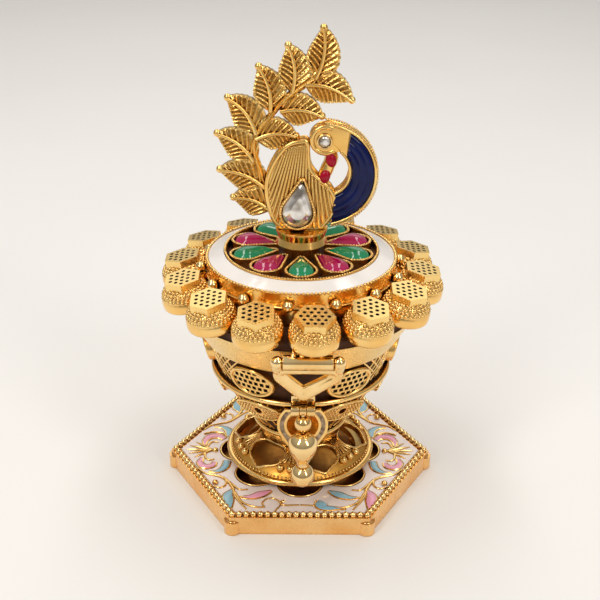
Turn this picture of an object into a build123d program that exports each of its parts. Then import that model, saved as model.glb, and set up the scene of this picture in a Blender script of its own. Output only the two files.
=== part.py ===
from build123d import *
import os
from math import cos, pi, radians, sin, sqrt, tan

os.makedirs("parts", exist_ok=True)

# A kumkum box, in millimetres: origin at the middle of the base's underside, +Z up, the front towards -Y.

# Gaps
running_gap = 0.06
fixed_gap = 0.05
slide_gap = 0.15

# Base tray
base_corner_radius = 27.0
base_height = 3.8
base_wall = 2.2
base_hollow = 1.2
base_floor = 1.0
boss_radius = 1.65
boss_inset = 1.2
boss_height = 2.7
bead_inset = 0.25
bead_width = 1.3
bead_height = 0.9
border_width = 1.8
enamel_depth = 0.5
enamel_proud = 0.1
lobe_count = 8
lobe_radius = 4.3
lobe_circle = 12.2
lobe_rim = 0.35
recess_radius = 11.4
land_radius = 13.0

# Enamel motifs on the base
motif_height = 0.25
crescent_radius = 2.1
crescent_bite = 1.75
crescent_shift = 1.15
crescent_inset = 7.3
crescent_turn = 17.0
leaf_length = 5.4
leaf_width = 1.9
leaf_inset = 5.0
leaf_turn = 54.0
inner_leaf_inset = 8.5
inner_leaf_turn = 64.0
palm_rays = 7
palm_length = 4.2
palm_width = 0.7
palm_spread = 24.0
palm_inset = 7.4
scroll_radius = 1.0
scroll_wire = 0.45
scroll_inset = 6.5
scroll_turn = 38.0

# Foot and neck
foot_rise = 5.6
foot_rim_radius = 15.2
foot_rim_height = 2.25
foot_seat_inner = 11.6
foot_seat_outer = 12.9
foot_bulge_height = 1.4
dome_low_radius = 14.3
dome_wall = 1.0
dome_belly = 0.45
opening_count = 6
opening_turn = -68.6
opening_radius = 2.15
opening_circle = 10.4
opening_swing = 10.0
opening_tip_radius = 0.3
opening_tip_circle = 13.3
granule_radius = 0.62
granule_circle = 12.9
granule_spread = 9.0
neck_radius = 8.1
neck_wall = 1.1
neck_height = 2.6
neck_plate = 1.0

# Pedestal screw
screw_radius = 1.2
screw_head_radius = 2.3
screw_head_height = 0.9
spacer_wall = 1.3
nut_radius = 2.5
nut_height = 2.0
screw_grip = 1.6

# Bowl
bowl_height = 21.3
bowl_floor_radius = 7.4
bowl_waist_radius = 18.3
bowl_arc_radius = 41.6
cup_wall = 0.9
cup_foot_wall = 1.1
cup_floor = 1.0
band_height = 6.6
band_low_radius = 19.45
band_top_radius = 23.4
band_wall = 1.0
cup_lip_depth = 0.8
cup_lip_width = 0.9
ring_wire = 0.55
mid_ring_height = 13.5
mid_ring_stand = 1.3
ring_web = 0.5
low_ring_height = 1.0
low_ring_stand = 0.75
plaque_count = 6
plaque_stand = 0.1
oval_wall = 1.9
oval_width = 9.6
oval_clearance = 1.2
oval_shift = 0.1
eye_wall = 1.4
eye_width = 11.0
eye_height = 5.0
eye_rise = 10.0
eye_hole_radius = 0.8

# Back hinge
hinge_stand = 1.5
hinge_drop = 0.4
knuckle_radius = 1.05
lid_knuckle_length = 3.8
bowl_knuckle_length = 2.3
hinge_pin_radius = 0.5
hinge_leaf = 0.85
leaf_lift = 0.03
hinge_bracket = 1.2

# Lid
lid_gap = 0.05
lid_inset = 0.2
lid_plate_thickness = 1.05
spigot_gap = 0.8
spigot_wall = 1.3
spigot_depth = 1.0
cap_count = 14
cap_turn = -84.0
cap_tilt = 10.0
cap_inset = 0.7
cap_rise = 1.63
cap_foot_radius = 4.5
cap_radius = 4.8
cap_band_low = 0.8
cap_band_high = 1.9
cap_mid_radius = 4.3
cap_mid_height = 3.25
cap_shoulder_radius = 3.2
cap_shoulder_height = 4.3
cap_hex_radius = 3.15
cap_hex_turn = 30.0
cap_height = 5.6
cap_wall = 0.6
lid_bead_radius = 0.85
lid_bead_rise = 6.65
drum_inset = 4.2
drum_step = 0.75
drum_wall = 0.9
drum_flare_low = 5.2
drum_flare_high = 5.95
drum_height = 8.35
drum_edge = 0.35
drum_edge_rise = 0.45
enamel_ring_low = 0.4
enamel_ring_rise = 1.5
enamel_ring_width = 3.9
field_lip = 0.45
field_lip_rise = 1.7
field_ledge = 1.0
field_plate = 0.9
jewel_floor_thickness = 0.6

# Jewels on the lid
jewel_count = 10
jewel_inset = 3.35
bezel_radius = 3.1
bezel_wall = 0.5
bezel_clearance = 1.15
bezel_tip_radius = 0.75
bezel_height = 1.7
stone_gap = 0.1
stone_lift = 0.3
stone_height = 2.3
stone_dome_radius = 6.0
stone_dome_shift = 0.75

# Finial
collar_stem_radius = 3.4
collar_stem_height = 2.5
collar_radius = 4.95
collar_waist_radius = 4.5
collar_height = 3.3
collar_edge = 0.4
stud_radius = 1.0
stud_nut_radius = 2.2
stud_nut_height = 1.6
spray_half = 1.0
leaf_swell = 2.75
leaf_belly = 0.45
stem_width = 1.5
stem_half = 1.3
body_half = 2.2
body_bevel = 0.6
belly_radius = 5.1
belly_tip_radius = 0.9
finial_foot_radius = 3.6
finial_foot_height = 0.25
head_radius = 3.0
head_half = 1.9
head_bevel = 0.5
neck_rim = 0.75
neck_enamel_half = 1.9
wattle_half = 1.5
wattle_width = 1.9
wattle_cell_length = 1.9
wattle_cell_width = 1.3
pear_radius = 2.85
pear_tip_radius = 0.75
pear_wall = 0.45
pear_bezel_depth = 0.9
pear_stone_depth = 1.6
pear_taper = 15.0
eye_radius = 1.2
eye_bezel_wall = 0.45
eye_bezel_depth = 0.5
eye_stone_depth = 0.9
eye_taper = 35.0

# Clasp
clasp_x = 1.3
clasp_stand = 1.3
clasp_drop = 1.3
clasp_lean = 16.8
clasp_tip_x = -0.75
clasp_length = 9.7
clasp_half_width = 6.2
clasp_top = 1.25
clasp_corner = 1.7
clasp_point = 0.9
clasp_thickness = 1.5
clasp_step = 0.5
step_half_width = 4.5
step_top = 2.7
step_tip = 7.2
window_half_width = 3.2
window_top = 3.3
window_tip = 5.9
window_corner = 0.3
tube_radius = 1.1
tube_half = 4.6
pivot_radius = 0.55
ear_length = 1.35
tab_half = 3.0
tab_thickness = 0.75

# Catch, teardrop plate and bead drop
drop_x = 0.5
drop_stand = 3.85
drop_rise = 1.1
catch_half = 2.2
catch_slot = 1.5
catch_height = 2.9
catch_lug_radius = 1.1
catch_back = 1.8
horn_height = 0.9
horn_width = 0.8
cross_wire_radius = 0.35
plate_stand = 0.95
plate_thickness = 1.2
plate_x = 0.45
plate_radius = 4.8
plate_below_ring = 4.0
plate_tip_drop = 7.9
plate_tip_radius = 0.4
plate_edge = 0.5
dish_radius = 3.0
dish_depth = 0.9
inlay_depth = 0.4
eye_loop_radius = 0.88
eye_loop_width = 1.2
drop_pin_radius = 0.35
top_bead_drop = 2.85
top_bead_radius = 1.6
pear_bead_drop = 7.15
pear_bead_radius = 2.5
pear_bead_tail = 4.3
pear_bead_tip = 0.75
drop_collar_radius = 1.05
drop_collar_height = 0.5
ball_bead_radius = 2.05

# Heights and places that follow from the sizes
recess_z = base_hollow + base_floor
foot_top = base_height + foot_rise
rim_top = base_height + foot_rim_height
neck_top = foot_top + neck_height
bowl_top = neck_top + bowl_height
band_top = bowl_top + band_height
mid_ring_z = neck_top + mid_ring_height
oval_height = bowl_top - mid_ring_z - oval_clearance
lid_z = band_top + lid_gap
drum_z = lid_z + lid_plate_thickness
drum_top = drum_z + drum_height - lid_plate_thickness
floor_z = drum_top - jewel_floor_thickness / 2
collar_z = floor_z + jewel_floor_thickness
finial_z = collar_z + collar_stem_height + collar_height
hinge_y = band_top_radius + hinge_stand
hinge_z = band_top - hinge_drop
clasp_y = -band_top_radius - clasp_stand
clasp_z = band_top - clasp_drop
boss_circle = base_corner_radius - boss_inset
crescent_circle = base_corner_radius - crescent_inset
leaf_circle = base_corner_radius - leaf_inset
inner_leaf_circle = base_corner_radius - inner_leaf_inset
palm_circle = base_corner_radius - palm_inset
scroll_circle = base_corner_radius - scroll_inset
lid_radius = band_top_radius - lid_inset
cap_circle = lid_radius - cap_inset
drum_radius = cap_circle - drum_inset
drum_foot_radius = drum_radius - drum_step
field_radius = drum_radius - enamel_ring_width
jewel_circle = field_radius - jewel_inset
bezel_tip_circle = collar_stem_radius + bezel_clearance + bezel_tip_radius
stone_dome_circle = jewel_circle - stone_dome_shift


def hexagon_radius(inset):
    """Corner radius of the base's hexagon, moved in from its wall."""
    return base_corner_radius - inset / cos(pi / 6)


# The bowl's wall is an arc from its floor to its waist, and its middle is found from the two ends
chord_r = bowl_waist_radius - bowl_floor_radius
chord = sqrt(chord_r**2 + bowl_height**2)
chord_to_middle = sqrt(bowl_arc_radius**2 - chord**2 / 4)
bowl_arc_r = bowl_floor_radius + chord_r / 2 - chord_to_middle * bowl_height / chord
bowl_arc_z = neck_top + bowl_height / 2 + chord_to_middle * chord_r / chord


def bowl_radius(z, stand=0.0):
    """Radius of the bowl's wall at a height, or of a skin that stands off it."""
    return bowl_arc_r + sqrt((bowl_arc_radius + stand) ** 2 - (z - bowl_arc_z) ** 2)


def bowl_point(z, stand=0.0):
    return (bowl_radius(z, stand), z)


def polar(radius, degrees):
    return (radius * cos(radians(degrees)), radius * sin(radians(degrees)))


def finish(piece, label):
    """Label a finished piece and write it."""
    piece.part.label = label
    export_step(piece.part, f"parts/{label}.step")


# Base tray: a six-sided casting, hollow below, with a scalloped recess in its top
with BuildPart() as base_tray:
    with BuildSketch():
        RegularPolygon(base_corner_radius, 6)
    extrude(amount=base_height)
    with BuildSketch():
        RegularPolygon(hexagon_radius(base_wall), 6)
    extrude(amount=base_hollow, mode=Mode.SUBTRACT)
    with BuildSketch(Plane.XY.offset(base_height - enamel_depth)):
        RegularPolygon(hexagon_radius(border_width), 6)
        Circle(land_radius, mode=Mode.SUBTRACT)
        with PolarLocations(lobe_circle, lobe_count, start_angle=-90):
            Circle(lobe_radius + lobe_rim, mode=Mode.SUBTRACT)
    extrude(amount=enamel_depth, mode=Mode.SUBTRACT)
    with BuildSketch(Plane.XY.offset(recess_z)):
        Circle(recess_radius)
        with PolarLocations(lobe_circle, lobe_count, start_angle=-90):
            Circle(lobe_radius)
    extrude(amount=base_height - recess_z, mode=Mode.SUBTRACT)
    with PolarLocations(boss_circle, 6):
        Cylinder(boss_radius, boss_height, align=(Align.CENTER, Align.CENTER, Align.MIN))
    with BuildSketch(Plane.XY.offset(base_hollow)):
        Circle(screw_radius + fixed_gap)
    extrude(amount=base_floor, mode=Mode.SUBTRACT)
finish(base_tray, "base_tray")

# Beaded wire along the six sides
with BuildPart() as base_bead_wire:
    with BuildSketch(Plane.XY.offset(base_height)):
        RegularPolygon(hexagon_radius(bead_inset), 6)
        RegularPolygon(hexagon_radius(bead_inset + bead_width), 6, mode=Mode.SUBTRACT)
    extrude(amount=bead_height)
    chamfer(base_bead_wire.faces().sort_by(Axis.Z)[-1].edges(), bead_width / 4)
finish(base_bead_wire, "base_bead_wire")

# White enamel field in its pocket
with BuildPart() as base_enamel_field:
    with BuildSketch(Plane.XY.offset(base_height - enamel_depth)):
        RegularPolygon(hexagon_radius(border_width + fixed_gap), 6)
        Circle(land_radius + fixed_gap, mode=Mode.SUBTRACT)
        with PolarLocations(lobe_circle, lobe_count, start_angle=-90):
            Circle(lobe_radius + lobe_rim + fixed_gap, mode=Mode.SUBTRACT)
    extrude(amount=enamel_depth + enamel_proud)
finish(base_enamel_field, "base_enamel_field")
field_top = base_height + enamel_proud

# A leaf motif, pointed at both ends, along X
with BuildSketch() as leaf_motif:
    with BuildLine():
        ThreePointArc((-leaf_length / 2, 0), (0, leaf_width / 2), (leaf_length / 2, 0))
        ThreePointArc((leaf_length / 2, 0), (0, -leaf_width / 2), (-leaf_length / 2, 0))
    make_face()

# Pink crescents beside the two palmettes, and pink leaves by the right-hand corners
with BuildPart() as base_enamel_pink:
    with BuildSketch(Plane.XY.offset(field_top)):
        for corner in (0, 180):
            for side in (-1, 1):
                turn = corner + side * crescent_turn
                with Locations(polar(crescent_circle, turn)):
                    Circle(crescent_radius)
                with Locations(polar(crescent_circle - crescent_shift, turn)):
                    Circle(crescent_bite, mode=Mode.SUBTRACT)
        for side in (-1, 1):
            x, y = polar(leaf_circle, side * leaf_turn)
            with Locations(Location((x, y, 0), (0, 0, side * 90))):
                add(leaf_motif.sketch)
    extrude(amount=motif_height)
finish(base_enamel_pink, "base_enamel_pink")

# Blue leaves by the left-hand corners and along the front and back sides
with BuildPart() as base_enamel_blue:
    with BuildSketch(Plane.XY.offset(field_top)):
        for side in (-1, 1):
            x, y = polar(leaf_circle, 180 - side * leaf_turn)
            with Locations(Location((x, y, 0), (0, 0, side * 90))):
                add(leaf_motif.sketch)
            for turn in (side * inner_leaf_turn, 180 - side * inner_leaf_turn):
                x, y = polar(inner_leaf_circle, turn)
                with Locations(Location((x, y, 0), (0, 0, turn + 60 * side))):
                    add(leaf_motif.sketch)
    extrude(amount=motif_height)
finish(base_enamel_blue, "base_enamel_blue")

# Gold palmettes that point at two corners, and a curled wire near every other corner
with BuildPart() as base_gold_scrolls:
    with BuildSketch(Plane.XY.offset(field_top)):
        for corner in (0, 180):
            for ray in range(palm_rays):
                turn = corner + (ray - (palm_rays - 1) / 2) * palm_spread
                x, y = polar(palm_circle, corner)
                dx, dy = polar(palm_length / 2, turn)
                with Locations(Location((x + dx, y + dy, 0), (0, 0, turn))):
                    Ellipse(palm_length / 2, palm_width / 2)
        for turn in (scroll_turn, 180 - scroll_turn, 180 + scroll_turn, -scroll_turn):
            with Locations(polar(scroll_circle, turn)):
                Circle(scroll_radius)
                Circle(scroll_radius - scroll_wire, mode=Mode.SUBTRACT)
    extrude(amount=motif_height)
finish(base_gold_scrolls, "base_gold_scrolls")

# Foot rim: stands on the lands between the scallops and swells out above them
with BuildPart() as foot_rim:
    with BuildSketch(Plane.XZ):
        with BuildLine():
            Polyline(
                (foot_seat_inner, base_height),
                (foot_seat_outer, base_height),
                (foot_rim_radius - dome_wall / 4, base_height + foot_bulge_height - dome_wall / 4),
            )
            ThreePointArc(
                (foot_rim_radius - dome_wall / 4, base_height + foot_bulge_height - dome_wall / 4),
                (foot_rim_radius, base_height + foot_bulge_height + dome_wall / 4),
                (dome_low_radius + dome_wall / 4, rim_top),
            )
            Polyline(
                (dome_low_radius + dome_wall / 4, rim_top),
                (dome_low_radius - dome_wall - dome_wall / 2, rim_top),
                (foot_seat_inner, base_height + foot_bulge_height),
                (foot_seat_inner, base_height),
            )
        make_face()
    revolve(axis=Axis.Z)
finish(foot_rim, "foot_rim")

# Foot dome: a shell pierced by leaf-shaped openings, with three granules on each fan between them
dome_mid_z = (rim_top + foot_top) / 2 + dome_belly
dome_mid_r = (dome_low_radius + neck_radius) / 2 + dome_belly
with BuildPart() as dome_opening:
    with BuildSketch(Plane.XY.offset(rim_top)):
        with Locations(polar(opening_circle, opening_swing), polar(opening_circle, -opening_swing)):
            Circle(opening_radius)
        with Locations((opening_tip_circle, 0)):
            Circle(opening_tip_radius)
        make_hull()
    extrude(amount=foot_rise)
with BuildPart() as foot_dome:
    with BuildSketch(Plane.XZ):
        with BuildLine():
            ThreePointArc((dome_low_radius, rim_top), (dome_mid_r, dome_mid_z), (neck_radius, foot_top))
            Line((neck_radius, foot_top), (neck_radius - dome_wall, foot_top))
            ThreePointArc(
                (neck_radius - dome_wall, foot_top),
                (dome_mid_r - dome_wall / sqrt(2), dome_mid_z - dome_wall / sqrt(2)),
                (dome_low_radius - dome_wall, rim_top),
            )
            Line((dome_low_radius - dome_wall, rim_top), (dome_low_radius, rim_top))
        make_face()
    revolve(axis=Axis.Z)
    with PolarLocations(0, opening_count, start_angle=opening_turn):
        add(dome_opening.part, mode=Mode.SUBTRACT)
    dome_slope = (foot_top - rim_top) / (dome_low_radius - neck_radius)
    granule_z = rim_top + (dome_low_radius - granule_circle) * dome_slope
    for fan in range(opening_count):
        for step in (-1, 0, 1):
            turn = opening_turn + (2 * fan + 1) * 180 / opening_count + step * granule_spread
            x, y = polar(granule_circle, turn)
            with Locations((x, y, granule_z + dome_belly / 2)):
                Sphere(granule_radius)
finish(foot_dome, "foot_dome")

# Neck drum between the foot and the bowl
with BuildPart() as neck_drum:
    with BuildSketch(Plane.XY.offset(foot_top)):
        Circle(neck_radius)
    extrude(amount=neck_height)
    with BuildSketch(Plane.XY.offset(foot_top)):
        Circle(neck_radius - neck_wall)
    extrude(amount=neck_height - neck_plate, mode=Mode.SUBTRACT)
    with BuildSketch(Plane.XY.offset(foot_top)):
        Circle(screw_radius + fixed_gap)
    extrude(amount=neck_height, mode=Mode.SUBTRACT)
finish(neck_drum, "neck_drum")

# Spacer tube round the pedestal screw, inside the foot
with BuildPart() as pedestal_tube:
    with BuildSketch(Plane.XY.offset(recess_z)):
        Circle(screw_radius + spacer_wall)
        Circle(screw_radius + fixed_gap, mode=Mode.SUBTRACT)
    extrude(amount=neck_top - neck_plate - recess_z)
finish(pedestal_tube, "pedestal_tube")

# Pedestal screw from below, and its nut on the bowl's floor
screw_end = neck_top + cup_floor + screw_grip
with BuildPart() as pedestal_screw:
    with BuildSketch(Plane.XY.offset(base_hollow - screw_head_height)):
        Circle(screw_head_radius)
    extrude(amount=screw_head_height)
    with BuildSketch(Plane.XY.offset(base_hollow)):
        Circle(screw_radius)
    extrude(amount=screw_end - base_hollow)
finish(pedestal_screw, "pedestal_screw")

with BuildPart() as pedestal_nut:
    with BuildSketch(Plane.XY.offset(neck_top + cup_floor)):
        RegularPolygon(nut_radius, 6)
    extrude(amount=nut_height)
    with BuildSketch(Plane.XY.offset(neck_top + cup_floor)):
        Circle(screw_radius + fixed_gap)
    extrude(amount=screw_grip + fixed_gap, mode=Mode.SUBTRACT)
finish(pedestal_nut, "pedestal_nut")

# Bowl cup: the lining that holds the powder, hung by its lip in the rim band
lip_z = band_top - cup_lip_depth
band_slope = (band_top_radius - band_low_radius) / band_height


def band_inner(z):
    """Radius of the rim band's inner face at a height."""
    return band_low_radius + (z - bowl_top) * band_slope - band_wall


mid_z = (neck_top + bowl_top) / 2
with BuildPart() as bowl_cup:
    with BuildSketch(Plane.XZ):
        with BuildLine():
            Line((screw_radius + fixed_gap, neck_top), bowl_point(neck_top))
            ThreePointArc(bowl_point(neck_top), bowl_point(mid_z), bowl_point(bowl_top))
            Polyline(
                bowl_point(bowl_top),
                (band_inner(lip_z) - fixed_gap, lip_z),
                (band_inner(lip_z) + cup_lip_width / 2, lip_z),
                (band_inner(lip_z) + cup_lip_width / 2, band_top - cup_lip_depth / 4),
                (band_inner(lip_z) - cup_wall, band_top - cup_lip_depth / 4),
                (bowl_radius(bowl_top) - cup_wall, bowl_top),
            )
            ThreePointArc(
                (bowl_radius(bowl_top) - cup_wall, bowl_top),
                (bowl_radius(mid_z) - cup_wall, mid_z + cup_wall / 2),
                (bowl_radius(neck_top + cup_floor) - cup_foot_wall, neck_top + cup_floor),
            )
            Polyline(
                (bowl_radius(neck_top + cup_floor) - cup_foot_wall, neck_top + cup_floor),
                (screw_radius + fixed_gap, neck_top + cup_floor),
                (screw_radius + fixed_gap, neck_top),
            )
        make_face()
    revolve(axis=Axis.Z)
finish(bowl_cup, "bowl_cup")

# Rim band: a plain tapered ring with a ledge for the cup's lip
with BuildPart() as bowl_rim_band:
    with BuildSketch(Plane.XZ):
        with BuildLine():
            Polyline(
                (band_low_radius, bowl_top),
                (band_top_radius, band_top),
                (band_inner(lip_z) + cup_lip_width / 2 + fixed_gap, band_top),
                (band_inner(lip_z) + cup_lip_width / 2 + fixed_gap, lip_z),
                (band_inner(lip_z), lip_z),
                (band_inner(bowl_top) + 2 * fixed_gap, bowl_top),
                close=True,
            )
        make_face()
    revolve(axis=Axis.Z)
finish(bowl_rim_band, "bowl_rim_band")

# Ring wires that the filigree is soldered to
mid_ring_radius = bowl_radius(mid_ring_z) + mid_ring_stand
with BuildPart() as bowl_mid_ring:
    with BuildSketch(Plane.XZ):
        with Locations((mid_ring_radius, mid_ring_z)):
            Circle(ring_wire)
            Rectangle(mid_ring_stand - ring_web / 2 - fixed_gap, ring_web, align=(Align.MAX, Align.CENTER))
    revolve(axis=Axis.Z)
finish(bowl_mid_ring, "bowl_mid_ring")

low_ring_z = neck_top + low_ring_height
with BuildPart() as bowl_low_ring:
    with BuildSketch(Plane.XZ):
        with Locations((bowl_radius(low_ring_z) + low_ring_stand, low_ring_z)):
            Circle(ring_wire)
    revolve(axis=Axis.Z)
finish(bowl_low_ring, "bowl_low_ring")


def skin_profile(wall, low_z, high_z):
    """Cross-section of a plaque that lies along the bowl's wall between two heights."""
    middle = (low_z + high_z) / 2
    inner, outer = plaque_stand, plaque_stand + wall
    ThreePointArc(bowl_point(low_z, inner), bowl_point(middle, inner), bowl_point(high_z, inner))
    Line(bowl_point(high_z, inner), bowl_point(high_z, outer))
    ThreePointArc(bowl_point(high_z, outer), bowl_point(middle, outer), bowl_point(low_z, outer))
    Line(bowl_point(low_z, outer), bowl_point(low_z, inner))


# Oval mesh plaques of the upper tier
oval_z = (mid_ring_z + bowl_top) / 2 + oval_shift
with BuildPart() as oval_plaque:
    with BuildSketch(Plane.XZ):
        with BuildLine():
            skin_profile(oval_wall, oval_z - oval_height / 2, oval_z + oval_height / 2)
        make_face()
    revolve(axis=Axis.Z)
    with BuildSketch(Plane(origin=(0, 0, oval_z), x_dir=(0, 1, 0), z_dir=(1, 0, 0))):
        Ellipse(oval_width / 2, oval_height / 2 - fixed_gap)
    extrude(amount=band_top_radius, mode=Mode.INTERSECT)
with BuildPart() as bowl_oval_plaques:
    with PolarLocations(0, plaque_count):
        add(oval_plaque.part)
finish(bowl_oval_plaques, "bowl_oval_plaques")

# Eye-shaped plaques of the lower tier
eye_z = neck_top + eye_rise
with BuildPart() as eye_plaque:
    with BuildSketch(Plane.XZ):
        with BuildLine():
            skin_profile(eye_wall, eye_z - eye_height / 2, eye_z + eye_height / 2)
        make_face()
    revolve(axis=Axis.Z)
    with BuildSketch(Plane(origin=(0, 0, eye_z), x_dir=(0, 1, 0), z_dir=(1, 0, 0))):
        with BuildLine():
            half, rise = eye_width / 2, eye_height / 2 - fixed_gap
            ThreePointArc((-half, 0), (0, rise), (half, 0))
            ThreePointArc((half, 0), (0, -rise), (-half, 0))
        make_face()
        Circle(eye_hole_radius, mode=Mode.SUBTRACT)
    extrude(amount=band_top_radius, mode=Mode.INTERSECT)
with BuildPart() as bowl_eye_plaques:
    with PolarLocations(0, plaque_count):
        add(eye_plaque.part)
finish(bowl_eye_plaques, "bowl_eye_plaques")

# Back hinge: two knuckles on the band, one on the lid, and the pin through them
hinge_line = Plane(origin=(0, hinge_y, hinge_z), x_dir=(0, 1, 0), z_dir=(1, 0, 0))
knuckle_start = lid_knuckle_length / 2 + slide_gap
with BuildPart() as bowl_hinge:
    for side in (1, -1):
        with BuildSketch(hinge_line.offset(side * knuckle_start)):
            Circle(knuckle_radius)
            Rectangle(3 * band_wall, hinge_bracket, align=(Align.MAX, Align.MAX))
        extrude(amount=side * bowl_knuckle_length)
    with BuildSketch(hinge_line.offset(-knuckle_start - bowl_knuckle_length)):
        Circle(hinge_pin_radius + fixed_gap)
    extrude(amount=2 * (knuckle_start + bowl_knuckle_length), mode=Mode.SUBTRACT)
    with BuildSketch(Plane.XZ):
        with BuildLine():
            Polyline(
                (0, bowl_top),
                (band_low_radius + fixed_gap, bowl_top),
                (band_top_radius + fixed_gap, band_top),
                (0, band_top),
                close=True,
            )
        make_face()
    revolve(axis=Axis.Z, mode=Mode.SUBTRACT)
finish(bowl_hinge, "bowl_hinge")

with BuildPart() as lid_hinge:
    with BuildSketch(hinge_line.offset(-lid_knuckle_length / 2)):
        Circle(knuckle_radius)
        with Locations((0, hinge_drop + lid_gap + leaf_lift)):
            Rectangle(hinge_y - lid_radius, hinge_leaf, align=(Align.MAX, Align.MIN))
    extrude(amount=lid_knuckle_length)
    with BuildSketch(hinge_line.offset(-lid_knuckle_length / 2)):
        Circle(hinge_pin_radius + running_gap)
    extrude(amount=lid_knuckle_length, mode=Mode.SUBTRACT)
    with BuildSketch(Plane.XY.offset(lid_z)):
        Circle(lid_radius + fixed_gap)
    extrude(amount=cap_rise, mode=Mode.SUBTRACT)
finish(lid_hinge, "lid_hinge")

pin_half = knuckle_start + bowl_knuckle_length + hinge_pin_radius
with BuildPart() as hinge_pin:
    with BuildSketch(hinge_line.offset(-pin_half)):
        Circle(hinge_pin_radius)
    extrude(amount=2 * pin_half)
finish(hinge_pin, "hinge_pin")

# Lid plate: a flat disc with a locating rim below and a sloped seat for the caps
cap_z = lid_z + cap_rise
cap_slope = tan(radians(cap_tilt))


def cap_seat(radius):
    """Height of the sloped seat under the caps."""
    return cap_z - fixed_gap - (radius - cap_circle) * cap_slope


seat_inner = drum_radius + fixed_gap
spigot_radius = band_inner(lip_z) - cup_wall - spigot_gap
with BuildPart() as lid_plate:
    with BuildSketch(Plane.XZ):
        with BuildLine():
            Polyline(
                (0, lid_z),
                (spigot_radius - spigot_wall, lid_z),
                (spigot_radius - spigot_wall, lid_z - spigot_depth),
                (spigot_radius, lid_z - spigot_depth),
                (spigot_radius, lid_z),
                (lid_radius, lid_z),
                (lid_radius, cap_seat(lid_radius)),
                (seat_inner, cap_seat(seat_inner)),
                (seat_inner, drum_z),
                (0, drum_z),
                close=True,
            )
        make_face()
    revolve(axis=Axis.Z)
finish(lid_plate, "lid_plate")

# Domed caps with raised six-sided tops, tilted outwards round the lid
with BuildPart() as cap:
    with BuildSketch(Plane.XZ):
        with BuildLine():
            Polyline((0, 0), (cap_foot_radius, 0), (cap_radius, cap_band_low), (cap_radius, cap_band_high))
            ThreePointArc(
                (cap_radius, cap_band_high),
                (cap_mid_radius, cap_mid_height),
                (cap_shoulder_radius, cap_shoulder_height),
            )
            Polyline((cap_shoulder_radius, cap_shoulder_height), (0, cap_shoulder_height), (0, 0))
        make_face()
    revolve(axis=Axis.Z)
    with BuildSketch():
        Circle(cap_foot_radius - cap_wall)
    extrude(amount=cap_band_high, mode=Mode.SUBTRACT)
    with BuildSketch(Plane.XY.offset(cap_shoulder_height - cap_wall)):
        RegularPolygon(cap_hex_radius, 6)
    extrude(amount=cap_height - cap_shoulder_height + cap_wall)

cap_places = []
for index in range(cap_count):
    cap_angle = cap_turn + index * 360 / cap_count
    turn = Location((0, 0, 0), (0, 0, cap_angle))
    lean = Location((cap_circle, 0, cap_z), (0, cap_tilt, 0))
    spin = Location((0, 0, 0), (0, 0, (cap_hex_turn if index else 0) - cap_angle))
    cap_places.append(turn * lean * spin)
with BuildPart() as lid_caps:
    with Locations(*cap_places):
        add(cap.part)
finish(lid_caps, "lid_caps")

# Beads soldered to the drum between the caps
with BuildPart() as lid_beads:
    with PolarLocations(
        drum_radius + lid_bead_radius + fixed_gap, cap_count, start_angle=cap_turn + 180 / cap_count
    ):
        with Locations((0, 0, lid_z + lid_bead_rise)):
            Sphere(lid_bead_radius)
finish(lid_beads, "lid_beads")

# Drum: carries the enamel ring and the jewel field
enamel_z = drum_top
with BuildPart() as lid_drum:
    with BuildSketch(Plane.XZ):
        with BuildLine():
            Polyline(
                (drum_foot_radius - drum_wall, drum_z),
                (drum_foot_radius, drum_z),
                (drum_foot_radius, lid_z + drum_flare_low),
                (drum_radius, lid_z + drum_flare_high),
                (drum_radius, enamel_z + drum_edge_rise),
                (drum_radius - drum_edge, enamel_z + drum_edge_rise),
                (drum_radius - drum_edge, enamel_z),
                (field_radius + field_lip, enamel_z),
                (field_radius + field_lip, enamel_z + field_lip_rise),
                (field_radius, enamel_z + field_lip_rise),
                (field_radius, floor_z),
                (field_radius - field_ledge, floor_z),
                (field_radius - field_ledge, enamel_z - field_plate),
                (drum_foot_radius - drum_wall, enamel_z - field_plate),
                close=True,
            )
        make_face()
    revolve(axis=Axis.Z)
finish(lid_drum, "lid_drum")

# White enamel ring, sloping down to the drum's edge
with BuildPart() as lid_enamel_ring:
    with BuildSketch(Plane.XZ):
        with BuildLine():
            Polyline(
                (field_radius + field_lip + fixed_gap, enamel_z),
                (drum_radius - drum_edge - fixed_gap, enamel_z),
                (drum_radius - drum_edge - fixed_gap, enamel_z + enamel_ring_low),
                (field_radius + field_lip + fixed_gap, enamel_z + enamel_ring_rise),
                close=True,
            )
        make_face()
    revolve(axis=Axis.Z)
finish(lid_enamel_ring, "lid_enamel_ring")

# Jewel floor on the drum's ledge
with BuildPart() as jewel_floor:
    with BuildSketch(Plane.XY.offset(floor_z)):
        Circle(field_radius - fixed_gap)
        Circle(stud_radius + fixed_gap, mode=Mode.SUBTRACT)
    extrude(amount=jewel_floor_thickness)
finish(jewel_floor, "jewel_floor")
jewel_z = floor_z + jewel_floor_thickness


def pear_outline(middle, round_radius, tip, tip_radius):
    """A pear from its round end to its tip."""
    with Locations(middle):
        Circle(round_radius)
    with Locations(tip):
        Circle(tip_radius)
    make_hull()


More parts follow.
